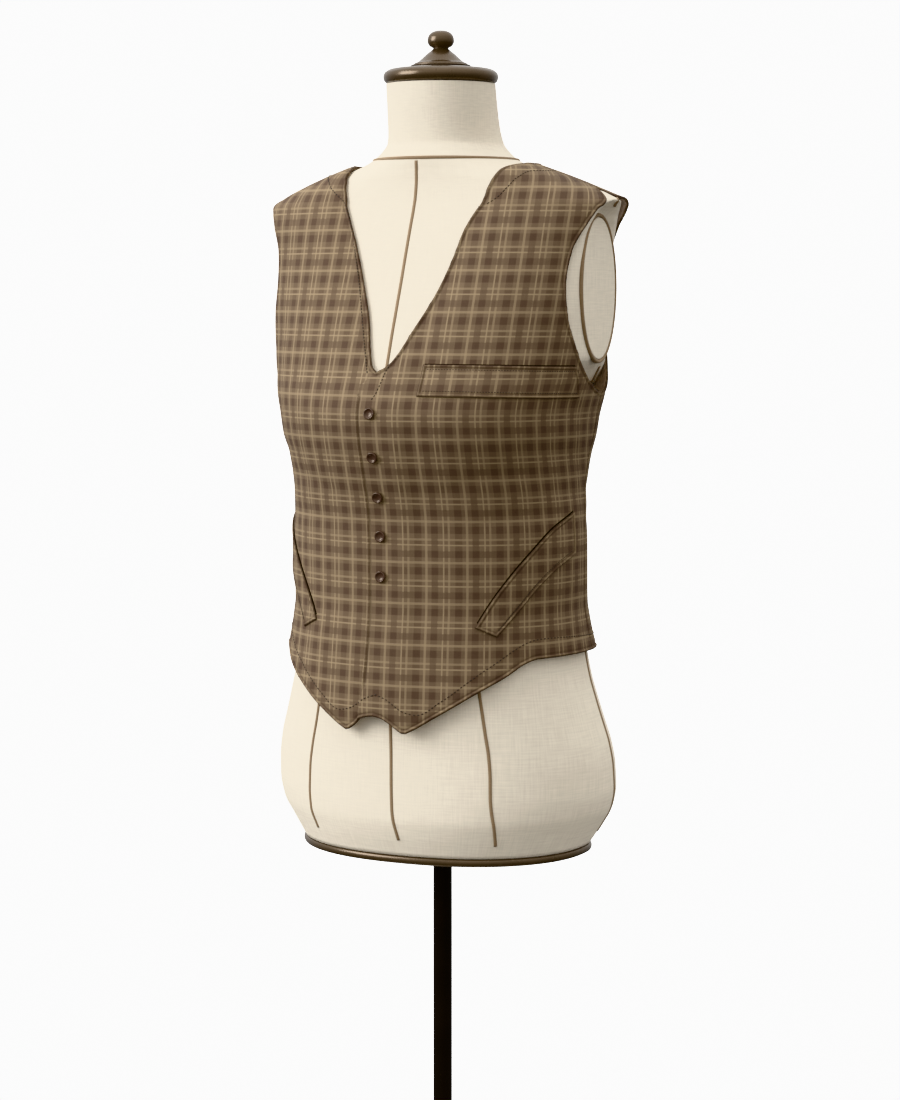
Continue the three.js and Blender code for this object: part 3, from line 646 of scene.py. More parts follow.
# Where each band starts in the repeat, counted from the light band's start: the ground's tone, the fine
# stripes' tone, the broad stripe's tone and whether it hides the other way's fine stripes
CHECK_BANDS = [
    (0.000, 0.19, 0, 0, 0), (0.113, 0.19, 0.56, 0, 0), (0.147, 0.15, 0, 0, 0), (0.236, 0.19, 0.36, 0, 0),
    (0.288, 0.19, 0, 0, 0), (0.410, 0.00, 0, 0, 0), (0.585, 0.19, 0, 0, 0), (0.674, 0.19, 0, 0.42, 0),
    (0.732, 0.19, 0, 0, 0), (0.830, 0.00, 0, 0, 1), (0.985, 0.08, 0, 0, 0),
]
BAND_SOFT = 0.006
HIDING = 0.8
YARN_TONE, DYE_TONE = 0.16, 0.10
# How far the painted edge shade darkens the wool
EDGE_SHADE_SHARE = 0.75


def make_check_group():
    """One direction of the check. The place is counted in repeats, its fraction picks a stop of a ramp
    whose red is the ground, green the fine stripes, blue the broad stripe and alpha the hiding block."""
    names = ("Ground", "Fine", "Broad", "Hides")
    places = [("Place mm", "Float", 0.0), ("Start mm", "Float", 0.0)]
    group, given, result = new_group("check bands", places, [(name, "Float", None) for name in names])
    shifted = maths(group, "SUBTRACT", given.outputs["Place mm"], given.outputs["Start mm"])
    repeats = maths(group, "ADD", maths(group, "DIVIDE", shifted, REPEAT), CHART_LEAD)
    ramp = add(group, "ShaderNodeValToRGB", inputs={0: maths(group, "FRACT", repeats)})
    stops = ramp.color_ramp.elements
    ends = [row[0] for row in CHECK_BANDS[1:]] + [1.0]
    for (start, *tones), end in zip(CHECK_BANDS, ends):
        for position in (start + BAND_SOFT, end - BAND_SOFT):
            stops.new(position).color = tones
    stops.remove(stops[0])
    stops.remove(stops[-1])
    split = add(group, "ShaderNodeSeparateColor", inputs={0: ramp.outputs["Color"]})
    for name, socket in zip(names, (*split.outputs, ramp.outputs["Alpha"])):
        link(group, socket, result.inputs[name])
    return group


check_group = make_check_group()


def make_wool(name, run=1.0, across=0.0, up=0.0):
    """Checked wool. run stretches or turns round the check's count across, and across and up shift it."""
    material, tree, shader = new_material(name, Sheen_Weight=0.06, Sheen_Roughness=0.4,
                                          Sheen_Tint=(0.85, 0.75, 0.65, 1), Specular_IOR_Level=0.12)
    place = add(tree, "ShaderNodeUVMap", uv_map=UV_MAP).outputs[0]
    split = add(tree, "ShaderNodeSeparateXYZ", inputs={0: place})
    ways = []
    for axis, start, factor in ((0, WARP_START + across, run * 1000), (1, WEFT_START + up, 1000.0)):
        place_mm = maths(tree, "MULTIPLY", split.outputs[axis], factor)
        ways.append(use_group(tree, check_group, Place_mm=place_mm, Start_mm=start).outputs)
    tones = []
    for own, other in (ways, ways[::-1]):
        shown = maths(tree, "SUBTRACT", 1.0, maths(tree, "MULTIPLY", other["Hides"], HIDING))
        fine = maths(tree, "MULTIPLY", own["Fine"], shown)
        lines = maths(tree, "ADD", own["Broad"], fine)
        tones.append(maths(tree, "SUBTRACT", 1.0, maths(tree, "ADD", own["Ground"], lines), clamp=True))
    tone = maths(tree, "SUBTRACT", 1.0, maths(tree, "MULTIPLY", *tones))
    weave = use_group(tree, weave_group, Place=place, Pitch_mm=0.9, Twill=1.0, Slub=0.5).outputs
    patches = use_group(tree, patch_group, Size_mm=70.0, Contrast=0.5).outputs[0]
    mottle = maths(tree, "ADD", uneven(tree, weave["Tone"], YARN_TONE), uneven(tree, patches, DYE_TONE))
    toned = maths(tree, "ADD", tone, mottle, clamp=True)
    colour = blend_colours(tree, toned, WOOL_DARK, WOOL_TAN)
    # Painted shade: the wool is darkened toward a shade colour along the rims, dips and seams
    rim = add(tree, "ShaderNodeAttribute", attribute_name=EDGE_SHADE_ATTRIBUTE).outputs["Fac"]
    edge_shaded = blend_colours(tree, maths(tree, "MULTIPLY", rim, EDGE_SHADE_SHARE), colour, WOOL_EDGE_SHADE)
    # Painted light: the inner face is blended toward a pale colour, where the form shades it
    inner_painted_light = add(tree, "ShaderNodeAttribute", attribute_name=INNER_LIGHT_ATTRIBUTE).outputs["Fac"]
    inner_lit = blend_colours(tree, maths(tree, "MULTIPLY", inner_painted_light, INNER_LIGHT_SHARE), edge_shaded, INNER_LIGHT_COLOUR)
    link(tree, inner_lit, shader.inputs["Base Color"])
    roughen(tree, shader, weave["Tone"], 0.78, 0.14)
    add_bump(tree, shader, weave["Height"], 0.10)
    return material


wool = make_wool("checked_wool")
print("check repeat", REPEAT, "mm, bands", len(CHECK_BANDS))

# %% [markdown]
# ## Linen, tape, thread, horn and metal
# The form is covered in cream linen whose thick and thin yarns show as fine streaks both ways. The tapes
# are brown cotton, the thread is darker than the wool, the buttons are polished dark horn, and the
# turned cap and base band are a glossy bronze brown. The pole and foot are satin black.


# %% Plain finishes
LINEN_DARK, LINEN_LIGHT = (0.58, 0.52, 0.425, 1), (1.0, 0.915, 0.765, 1)
TAPE_DARK, TAPE_LIGHT = (0.190, 0.132, 0.080, 1), (0.340, 0.250, 0.160, 1)
LINEN_WEAVE = {"Pitch_mm": 0.8, "Twill": 0.0, "Slub": 0.9}
TAPE_WEAVE = {"Pitch_mm": 0.7, "Twill": 1.0, "Slub": 0.5}
LINEN_PATCHES = 0.15
PATCH_CONTRAST = 1.2
GRAIN_MM, GRAIN_RELIEF = 2.0, 0.02


def make_woven(name, dark, light, weave, patch_share, rough, relief, **constants):
    """Cloth of one colour: two near tones by its yarns and, for a share, by soft patches."""
    material, tree, shader = new_material(name, **constants)
    place = add(tree, "ShaderNodeUVMap", uv_map=UV_MAP).outputs[0]
    yarns = use_group(tree, weave_group, Place=place, **weave).outputs
    patches = use_group(tree, patch_group, Size_mm=90.0, Contrast=0.5).outputs[0]
    tone = maths(tree, "ADD", maths(tree, "MULTIPLY", yarns["Tone"], 1 - patch_share),
                 maths(tree, "MULTIPLY", patches, patch_share))
    link(tree, blend_colours(tree, tone, dark, light), shader.inputs["Base Color"])
    roughen(tree, shader, yarns["Tone"], *rough)
    add_bump(tree, shader, yarns["Height"], relief)
    return material


def make_smooth(name, dark, light, rough, patch_mm, **constants):
    """A smooth finish: two near colours in patches, roughness that follows them, and a fine grain."""
    material, tree, shader = new_material(name, **constants)
    patches = use_group(tree, patch_group, Size_mm=patch_mm, Contrast=PATCH_CONTRAST).outputs[0]
    link(tree, blend_colours(tree, patches, dark, light), shader.inputs["Base Color"])
    roughen(tree, shader, patches, rough[0], rough[1] - rough[0])
    grain = use_group(tree, patch_group, Size_mm=GRAIN_MM, Contrast=1.0).outputs[0]
    add_bump(tree, shader, grain, GRAIN_RELIEF)
    return material


linen = make_woven("cream_linen", LINEN_DARK, LINEN_LIGHT, LINEN_WEAVE, LINEN_PATCHES, (0.80, 0.12), 0.09,
                   Sheen_Weight=0.06, Sheen_Roughness=0.5, Specular_IOR_Level=0.2)
tape = make_woven("brown_tape", TAPE_DARK, TAPE_LIGHT, TAPE_WEAVE, 0, (0.68, 0.2), 0.08,
                  Sheen_Weight=0.10, Specular_IOR_Level=0.3)
thread = make_smooth("dark_thread", (0.034, 0.025, 0.019, 1), (0.058, 0.043, 0.033, 1), (0.7, 0.85), 4.0)
# Near black, painted as the shadow inside the pocket mouths
mouth_shadow = make_smooth("pocket_mouth_shadow", (0.004, 0.003, 0.002, 1), (0.008, 0.006, 0.004, 1), (0.9, 0.98), 10.0,
                   Specular_IOR_Level=0.05)
horn = make_smooth("dark_horn", (0.052, 0.033, 0.026, 1), (0.088, 0.056, 0.044, 1), (0.16, 0.24), 3.0,
                   Specular_IOR_Level=0.5, Specular_Tint=(1.0, 0.86, 0.70, 1))
bronze = make_smooth("bronze_brown", (0.080, 0.056, 0.034, 1), (0.112, 0.080, 0.050, 1), (0.22, 0.32), 18.0,
                     Metallic=0.55, Coat_Weight=0.12, Coat_Roughness=0.10)
black = make_smooth("satin_black", (0.004, 0.003, 0.002, 1), (0.009, 0.006, 0.004, 1), (0.34, 0.45), 40.0,
                    Specular_IOR_Level=0.15)
print("finishes:", len(bpy.data.materials))

# %% [markdown]
# ## The form's body
# The real one is a padded shell covered in linen and cut off flat at the arms. A finer grid of the same
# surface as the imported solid, closed with a fan at each end, is all that it needs.

# %% Torso
FORM_BOTTOM = 671.5
FORM_TOP = 1447
FORM_GIRTH = 900
AROUND = 240

# Levels of the torso's rings: from, to and step, closest where the shoulders turn into the neck
TORSO_SPANS = [(FORM_BOTTOM, 1300, 4.0), (1300, 1395, 1.0), (1395, FORM_TOP, 3.0)]
TOP_EDGE = 0.6


def ring_angles(count):
    return np.arange(count) * 360.0 / count


def stacked(name, rings):
    """Closed rings stacked up, with a fan of triangles to the middle of the first and the last one."""
    rows, columns = rings.shape[:2]
    quads = grid_quads(rows, columns, wrap_columns=True)
    return new_mesh(name, with_middles(rings), quads, end_fans(rows, columns))


def level_rows(spans):
    """Levels from a table of spans, each with where it starts, where it ends and its step."""
    return [np.arange(low, high, step) for low, high, step in spans]


def wrapped_uv(mesh, girth_mm):
    """A UV map in metres round a piece: across by the angle, up by the level. A face that lies over the
    seam behind counts its corners on past it."""
    points = read(mesh.vertices, "co", np.float32, 3)
    corner = read(mesh.loops, "vertex_index", np.int32)
    starts = read(mesh.polygons, "loop_start", np.int32)
    totals = read(mesh.polygons, "loop_total", np.int32)
    turn = np.arctan2(points[:, 0], -points[:, 1]) / (2 * math.pi)
    share = turn[corner]
    first = np.repeat(share[starts], totals)
    share = share - np.round(share - first)
    lay_uv(mesh, np.stack([share * girth_mm * MM, points[corner, 2]], axis=1))


def make_torso():
    levels = np.unique(np.concatenate(level_rows(TORSO_SPANS) + [[FORM_TOP - TOP_EDGE, FORM_TOP]]))
    torso = stacked("linen_torso", form(ring_angles(AROUND)[None, :], levels[:, None]))
    wrapped_uv(torso.data, FORM_GIRTH)
    return finish_piece(torso, linen, "form_linen", "form_torso")


torso = make_torso()
print("torso", triangles(torso), "triangles")

# %% [markdown]
# ## Tapes, piping and the arm plates
# The style lines of a dress form are narrow brown tapes, sewn on proud: down the centre front, over the
# bust points, down the sides and the back, and round the neck. Each could be a curve with a bevel, but
# on a curved body a bevel tips over. A half-round profile carried along a path, with the surface's own
# normal as its up, keeps every tape lying flat.


# %% Profiles carried along a path
TAPE_WIDTH = 3.4
TAPE_PROUD, NECK_TAPE_PROUD = 1.1, 1.3
TAPE_SINK = 0.4
TAPE_STEP = 3.0
TAPE_LOOKUPS = 400
NECK_TAPE_LEVEL = 1371
NECK_TAPE_AROUND = 160


def lengths_along(path):
    """The length from the start of a polyline to each of its points."""
    steps = np.linalg.norm(np.diff(path, axis=0), axis=1)
    return np.concatenate([[0], np.cumsum(steps)])


def carried(name, path, normals, profile, closed=False):
    """A profile of (across, up) points carried along a path: across is the path's direction crossed with
    up, and up is the normal. Open ends are closed with a fan."""
    if closed:
        ahead = np.roll(path, -1, axis=0) - np.roll(path, 1, axis=0)
    else:
        ahead = np.gradient(path, axis=0)
    ahead = unit(ahead)
    up = unit(normals - (normals * ahead).sum(axis=1, keepdims=True) * ahead)
    across = np.cross(ahead, up)
    rings = path[:, None] + profile[None, :, :1] * across[:, None] + profile[None, :, 1:] * up[:, None]
    rows, columns = rings.shape[:2]
    u, v = np.broadcast_arrays(profile[None, :, 0] * MM, lengths_along(path)[:, None] * MM)
    uv = np.stack([u, v], axis=-1).reshape(-1, 2)
    quads = grid_quads(rows, columns, wrap_rows=closed, wrap_columns=True)
    if closed:
        return new_mesh(name, rings.reshape(-1, 3), quads, uv=uv)
    uv = np.concatenate([uv, uv[:1], uv[-1:]])
    return new_mesh(name, with_middles(rings), quads, end_fans(rows, columns), uv)


def half_round(width, height, sink=TAPE_SINK, count=10):
    """Half an ellipse on a flat base that is sunk a little into what it lies on."""
    turn = np.linspace(0, math.pi, count)
    arc = np.stack([width / 2 * np.cos(turn), height * np.sin(turn)], axis=1)
    base = np.array([[-width / 2, -sink], [width / 2, -sink]])
    return np.concatenate([arc, base])


def spaced(points, step):
    """Points at equal steps along a polyline."""
    lengths = lengths_along(points)
    count = max(2, int(round(lengths[-1] / step)) + 1)
    at = np.linspace(0, lengths[-1], count)
    return np.stack([np.interp(at, lengths, column) for column in points.T], axis=1)


def along_surface(place, facing, angle, z, step):
    """Points at equal steps along a line on a surface, given by angles and levels, and the normals that
    another surface has there."""
    route = np.stack([angle, z], axis=1)
    angle, z = spaced(np.hstack([place(angle, z), route]), step)[:, 3:].T
    return place(angle, z), outward(facing, angle, z)


# %% Style tapes
# Name, and its level and angle from one end to the other
TAPES = {
    "centre_front": [(1368, 0), (1340, 0), (1100, 0), (900, 0), (760, 0.2), (722, 0.4), (689, 1.9)],
    "bust_left": [(1300, 40), (1115, 35), (960, 33), (840, 33.3), (790, 33), (736, 32.8), (686, 37)],
    "bust_right": [(1300, -40), (1115, -35), (960, -32), (819, -31.5), (761, -32.6), (730, -33),
                   (690, -34.4)],
    "side_left": [(1162, 105.5), (1156, 109), (1150, 112), (1143, 114), (1130, 108), (1100, 97), (1000, 94),
                  (868, 97), (800, 96.5), (756, 95.5), (685, 96)],
    "centre_back": [(1368, 180), (1200, 180), (900, 180), (690, 180)],
    "back_left": [(1300, 138), (1200, 146), (1000, 153), (850, 150), (760, 147), (688, 144)],
    "back_right": [(1300, -138), (1200, -146), (1000, -153), (850, -150), (760, -147), (688, -144)],
    "shoulder_left": [(1362, 86), (1350, 90), (1337, 97), (1328.4, 101.5), (1325.5, 98.3), (1322.8, 94.5),
                      (1320.1, 97), (1317.8, 100.2)],
}
for part in ("side", "shoulder"):
    TAPES[part + "_right"] = [(level, -angle) for level, angle in TAPES[part + "_left"]]


def make_tapes():
    profile = half_round(TAPE_WIDTH, TAPE_PROUD)
    made = []
    for name, rows in TAPES.items():
        rows = np.array(sorted(rows), float)
        z = np.linspace(rows[0, 0], rows[-1, 0], TAPE_LOOKUPS)
        points, normals = along_surface(form, form, through(rows, z), z, TAPE_STEP)
        made.append(carried("tape_" + name, points, normals, profile))
    turn = ring_angles(NECK_TAPE_AROUND)
    normals = outward(form, turn, NECK_TAPE_LEVEL + 0 * turn)
    profile = half_round(TAPE_WIDTH, NECK_TAPE_PROUD)
    made.append(carried("tape_neck", form(turn, NECK_TAPE_LEVEL), normals, profile, closed=True))
    for piece in made:
        finish_piece(piece, tape, "tape")
    return made


tapes = make_tapes()
print("tapes", len(tapes), "with", sum(map(triangles, tapes)), "triangles")

# %% Arm plates and their piping
PLATE_THICK = 1.2
PLATE_GAP = 0.4
PLATE_ROUNDING = 0.6
PLATE_CROWN = 0.3
PLATE_CORNER_ROWS = 5
PLATE_FACE, PLATE_FACE_ROWS = (0.04, 0.97), 12
RING_WIDTH, RING_HIGH, RING_SINK = 4.0, 2.0, 1.3
RING_AROUND = 128


def oval(turn, grow):
    """An upright oval round the plate's centre, grown outward: its Y and Z."""
    y = PLATE_BACK + (PLATE_WIDTH / 2 + grow) * np.cos(turn)
    return y, PLATE_LEVEL + (PLATE_HEIGHT / 2 + grow) * np.sin(turn)


def side_name(side):
    return "left" if side > 0 else "right"


def make_plate(side):
    """A thin oval board covered in linen, with rounded edges and a slightly crowned face: rings of
    shrinking ovals, from the back over the edge to the middle of the face."""
    inside = ARM_CUT + PLATE_GAP
    corner = np.radians(np.linspace(0, 90, PLATE_CORNER_ROWS))
    rising, turning = 1 - np.sin(corner[1:]), 1 - np.cos(corner[1:])
    share = np.linspace(*PLATE_FACE, PLATE_FACE_ROWS)
    grow = np.concatenate([[-PLATE_ROUNDING], -PLATE_ROUNDING * rising, -PLATE_ROUNDING * turning,
                           -PLATE_WIDTH / 2 * share - PLATE_ROUNDING * (1 - share)])
    face = inside + PLATE_THICK
    x = np.concatenate([[inside], inside + PLATE_ROUNDING * turning, face - PLATE_ROUNDING * rising,
                        face + PLATE_CROWN * np.sin(share * math.pi / 2)])
    turn = np.radians(ring_angles(RING_AROUND))
    rings = np.stack(np.broadcast_arrays(x[:, None], *oval(turn[None, :], grow[:, None])), axis=-1)
    if side < 0:
        rings = (rings * [-1, 1, 1])[:, ::-1]
    plate = stacked("linen_plate_" + side_name(side), rings)
    points = read(plate.data.vertices, "co", np.float32, 3)
    lay_uv(plate.data, points[read(plate.data.loops, "vertex_index", np.int32), 1:])
    return finish_piece(plate, linen, "form_linen", "arm_plate_" + side_name(side))


def make_piping(side):
    """A flat cord covered in tape, laid round the plate: a half-round profile carried round an oval."""
    y, z = oval(np.radians(ring_angles(RING_AROUND)), RING_WIDTH / 2 + PLATE_GAP)
    path = np.stack([np.full_like(y, side * (ARM_CUT + PLATE_GAP)), y, z], axis=1)
    normals = np.tile([side * 1.0, 0, 0], (RING_AROUND, 1))
    profile = half_round(RING_WIDTH, RING_HIGH, RING_SINK)
    piping = carried("piping_" + side_name(side), path, normals, profile, closed=True)
    return finish_piece(piping, tape, "tape", "arm_ring_" + side_name(side))


plates = [make_plate(side) for side in (1, -1)]
pipings = [make_piping(side) for side in (1, -1)]
print("arm plates", [triangles(piece) for piece in plates + pipings])

# %% [markdown]
# ## Turned pieces
# The cap, the knob, the pole and the foot are turned on a lathe, so each is a profile of radius and
# height swept round an axis. A profile drawn with few points gets its soft edges by cutting its corners
# again and again, which is the same thing that a subdivision curve does.

# %% Lathe work
NECK_LEAN = -3.8
RIM_HEIGHT = 8
GAP = 0.4
POLE_RADIUS = 9.8
FOOT_RADIUS = 165
FOOT_HEIGHT = 16
BAND_ROLL, BAND_POWER, BAND_INSET = 4.0, 0.6, 2.4
BAND_DEEP, BAND_ROWS = 30, 13
CAP_PROFILE = [
    (0, 1447.4), (53, 1447.4), (57.2, 1449), (58.8, 1454), (57.6, 1458.4), (53, 1461.6), (46, 1462.8),
    (34, 1463.2), (33.2, 1464.2), (30, 1464.4), (0, 1464.4),
]
KNOB_PROFILE = [
    (0, 1464.8), (30.4, 1464.8), (30.6, 1465.6), (30.2, 1466.4), (27.4, 1466.5), (27.2, 1467.6),
    (26.2, 1468.3), (23.4, 1469.2), (19.2, 1472.8), (15.6, 1476.2), (12.4, 1478.9), (9.4, 1481.2),
    (7.4, 1483.0), (8.6, 1483.7), (11.6, 1485.3), (13.4, 1488.4), (13.7, 1491.4), (12.9, 1495.2),
    (10.2, 1498.8), (5, 1501), (0, 1501.2),
]
POLE_TOP = FORM_BOTTOM - RIM_HEIGHT - 2 * GAP
POLE_PROFILE = [
    (0, FOOT_HEIGHT + GAP), (POLE_RADIUS - 0.5, FOOT_HEIGHT + GAP), (POLE_RADIUS, FOOT_HEIGHT + 1),
    (POLE_RADIUS, 200), (POLE_RADIUS, 400), (POLE_RADIUS, POLE_TOP - 1), (POLE_RADIUS - 0.5, POLE_TOP),
    (0, POLE_TOP),
]
FOOT_PROFILE = [(0, 0), (FOOT_RADIUS - 3, 0), (FOOT_RADIUS, 3), (FOOT_RADIUS, 7), (FOOT_RADIUS - 4, 9.5),
                (80, 13.6), (24, FOOT_HEIGHT), (0, FOOT_HEIGHT)]


def cut_corners(profile, times=3, share=0.22):
    """Each corner is replaced by two points a share of the way along its two sides. The ends stay."""
    line = np.array(profile, float)
    for _ in range(times):
        before = line[:-1] * (1 - share) + line[1:] * share
        after = line[:-1] * share + line[1:] * (1 - share)
        inner = np.stack([before, after], axis=1).reshape(-1, 2)
        line = np.concatenate([line[:1], inner[1:-1], line[-1:]])
    return line


def turned(name, profile, around, lean, material, slot, node):
    """A profile of radius and height swept round an upright axis. The ends on the axis become fans."""
    line = cut_corners(profile)[1:-1]
    turn = np.radians(ring_angles(around))
    rings = np.stack(np.broadcast_arrays(
        line[:, :1] * np.sin(turn), lean - line[:, :1] * np.cos(turn), line[:, 1:]), axis=-1)
    return finish_piece(stacked(name, rings), material, slot, node)


cap = turned("turned_cap", CAP_PROFILE, 128, NECK_LEAN, bronze, "bronze", "neck_cap")
knob = turned("turned_knob", KNOB_PROFILE, 96, NECK_LEAN, bronze, "bronze", "finial")
pole = turned("stand_pole", POLE_PROFILE, 64, 0.0, black, "black_metal", "pole")
foot = turned("stand_foot", FOOT_PROFILE, 160, 0.0, black, "black_metal", "foot")


def make_base_band():
    """The board that closes the form's lower end, with a rounded edge that stands a little proud: rings
    of the form's own base outline, moved out by a half-round profile."""
    bottom = FORM_BOTTOM - GAP - RIM_HEIGHT
    roll = np.radians(np.linspace(-90, 90, BAND_ROWS))
    out = np.concatenate([[-BAND_DEEP], BAND_ROLL * np.cos(roll) ** BAND_POWER - BAND_INSET, [-BAND_DEEP]])
    level = np.concatenate([[bottom], bottom + RIM_HEIGHT / 2 * (1 + np.sin(roll)), [bottom + RIM_HEIGHT]])
    base = figure(ring_angles(AROUND), FORM_BOTTOM)
    flat = unit(base * [1, 1, 0])
    rings = base[None] + flat[None] * out[:, None, None]
    rings[..., 2] = level[:, None]
    return finish_piece(stacked("base_band", rings), bronze, "bronze", "base_rim")


base_band = make_base_band()
print("turned pieces", [triangles(piece) for piece in (cap, knob, pole, foot, base_band)])

# %% [markdown]
# ## The panels of the waistcoat
# Two fronts and two backs are cut flat, sewn at the sides, the shoulders and the centre back, and turned
# in along every free edge. Each panel is a grid between two edges: its rows are level above the hem and
# follow the hem below that. The turned-in edge is a profile of the distance to the edge: the wall thins
# to nothing at the rim like a folded sheet, swells into a roll, and dips where the roll is pressed down.

# %% Panel edges and the rolled rim
SEAM_GAP = 0.12
SIDE_SEAM, SHOULDER_SEAM, CENTRE_BACK = 94.0, 88.0, 180.0
BACK_HALF_WIDTH = 80
ARMHOLE_BOTTOM = 1137
SHOULDER_START = 1337
PANEL_TOP = 1361.5
HEM_CENTRE = -3
HEM_FOLLOW = 905
HEM_LOOKUP = 880
UNDERLAP_RISE, UNDERLAP_ANGLES = 3.5, (-11.5, -8)
NEAR_EDGE = np.array([0, 0.15, 0.45, 0.9, 1.4, 2.0, 2.7, 3.5, 4.3, 5.2, 6.5])
EDGE_STEP = 0.3
CHUNK = 4000
# Distances from the edge over which the inner face's painted light fades in
INNER_LIGHT_RANGE = (1.0, 3.0)

# A panel's columns, and its rows from the hem up: a band that follows the hem, a blend to where the rows
# lie level, and spans of level rows by where they start, where they end and their step
PANEL_WIDTH, PANEL_COLUMNS = 230.0, 74
HEM_BAND, HEM_BAND_ROWS = 30, 9
BLEND_ROWS = 9
PANEL_SPANS = [
    (HEM_FOLLOW, 1128, 3.2), (1128, 1137, 1.5), (1137, 1144, 0.4), (1144, 1156, 0.8), (1156, 1170, 1.6),
    (1170, 1308, 3.2), (1308, 1338, 0.8), (1338, 1348, 1.0), (1348, 1358, 0.6),
    (1358, PANEL_TOP - 1.6, 0.35),
]
TOP_ROWS = PANEL_TOP - np.array([1.4, 1.0, 0.6, 0.3, 0.12, 0])

# How far from each kind of edge the wall has its whole thickness
FREE_ROUNDING, SEAM_ROUNDING = 1.1, 0.7

# Swells and dips of the outer face beside each kind of edge, then the lines of painted shade in those
# dips and along the seams: height or strength, distance from the edge, and width
FREE_ROLL = [(0.6, 1.8, 0.9), (-0.5, 3.9, 0.9)]
SEAM_ROLL = [(-0.5, 0, 1.3)]
LAP_ROLL = [(0.6, 1.6, 1.0), (-0.7, 4.2, 1.3)]
FREE_SHADE, SEAM_SHADE, LAP_SHADE = [(0.6, 3.9, 0.8)], [(0.8, 0, 0.8)], [(0.8, 4.3, 1.3)]
# Painted shade right at a free edge, and how fast it fades inward
RIM_SHADE, RIM_SHADE_FADE = 1.35, 1.5

# The lap's own edge shows between the first two levels. From the third one up, the edge is the neckline's
LAP_LEVELS = (842, 1130, 1156)
FAR_AWAY = np.array([(0.0, 0.0, -5000.0), (0.0, 0.0, -5001.0)])


def hem_of(angle):
    return through(HEM, np.abs(angle - HEM_CENTRE))


def under_hem(angle):
    """The right front's hem, by the wearer's-left angle: it stays above the left one's under the lap."""
    at = np.minimum(angle, HEM_CENTRE)
    return hem_of(at) + UNDERLAP_RISE * smooth(*UNDERLAP_ANGLES, at)


def side_angle(armhole, z):
    """The outer edge of a panel: the side seam, then the armhole, then the shoulder seam."""
    above = np.where(z >= SHOULDER_START, SHOULDER_SEAM, through(armhole, z))
    return np.where(z <= ARMHOLE_BOTTOM, SIDE_SEAM, above)


def distance_to(points, line):
    """Shortest distance from each point to the points of a line, in chunks to spare memory."""
    flat = points.reshape(-1, 3).astype(np.float32)
    line = line.astype(np.float32)
    found = np.empty(len(flat), np.float32)
    for start in range(0, len(flat), CHUNK):
        part = flat[start:start + CHUNK]
        square = (part ** 2).sum(1)[:, None] + (line ** 2).sum(1)[None] - 2 * part @ line.T
        found[start:start + CHUNK] = np.sqrt(np.maximum(square.min(axis=1), 0))
    return found.reshape(points.shape[:2])


def bells(distance, rows):
    """A sum of bells, each with its height, its distance from the edge and its width."""
    return sum(height * np.exp(-((distance - centre) / width) ** 2) for height, centre, width in rows)


def quarter_round(share):
    """The height of a quarter circle from 0 at its foot to 1."""
    return np.sqrt(1 - (1 - np.clip(share, 0, 1)) ** 2)


def two_faces(middle, normal, half, roll):
    """Outer and inner face from the middle one. They meet on the rim of the grid."""
    open_part = np.zeros(half.shape)
    open_part[1:-1, 1:-1] = 1
    outer = middle + normal * ((half + roll) * open_part)[..., None]
    return outer, middle - normal * (half * open_part)[..., None]


def rolled_wall(middle, normal, free, seam, lap, plain):
    """Outer and inner face from the middle face: half the wall times a quarter round of the distance to
    the nearest edge. Near a free edge the outer face also swells into a roll and dips behind it, and more
    so along the lap. A plain edge is only rounded. Painted shade darkens the rim and the dips. The cloth is
    turned in along every edge, and past the turning the inner face gets painted light, where the form
    shades it."""
    free, seam, lap, plain = (distance_to(middle, line) for line in (free, seam, lap, plain))
    finished = np.minimum(free, np.minimum(lap, plain))
    half = WALL / 2 * quarter_round(np.minimum(finished / FREE_ROUNDING, seam / SEAM_ROUNDING))
    roll = bells(free, FREE_ROLL) + bells(seam, SEAM_ROLL) + bells(lap, LAP_ROLL)
    # Painted shade on the rim and in the dips beside the edges
    tone = np.clip(RIM_SHADE - free / RIM_SHADE_FADE, 0, 1)
    tone = tone + bells(free, FREE_SHADE) + bells(seam, SEAM_SHADE) + bells(lap, LAP_SHADE)
    # Painted light on the inner face, past a band along each edge
    inner_light = smooth(*INNER_LIGHT_RANGE, np.minimum(finished, seam))
    return *two_faces(middle, normal, half, roll), np.clip(tone, 0, 1), inner_light


def points_of(lines):
    """Points close together along several lines."""
    return np.concatenate([spaced(line, EDGE_STEP) for line in lines])


def near_both_ends(length, count):
    """Shares from 0 to 1 that are close together near both ends of a length."""
    near = NEAR_EDGE / length
    return np.concatenate([near, np.linspace(near[-1], 1 - near[-1], count)[1:-1], (1 - near)[::-1]])


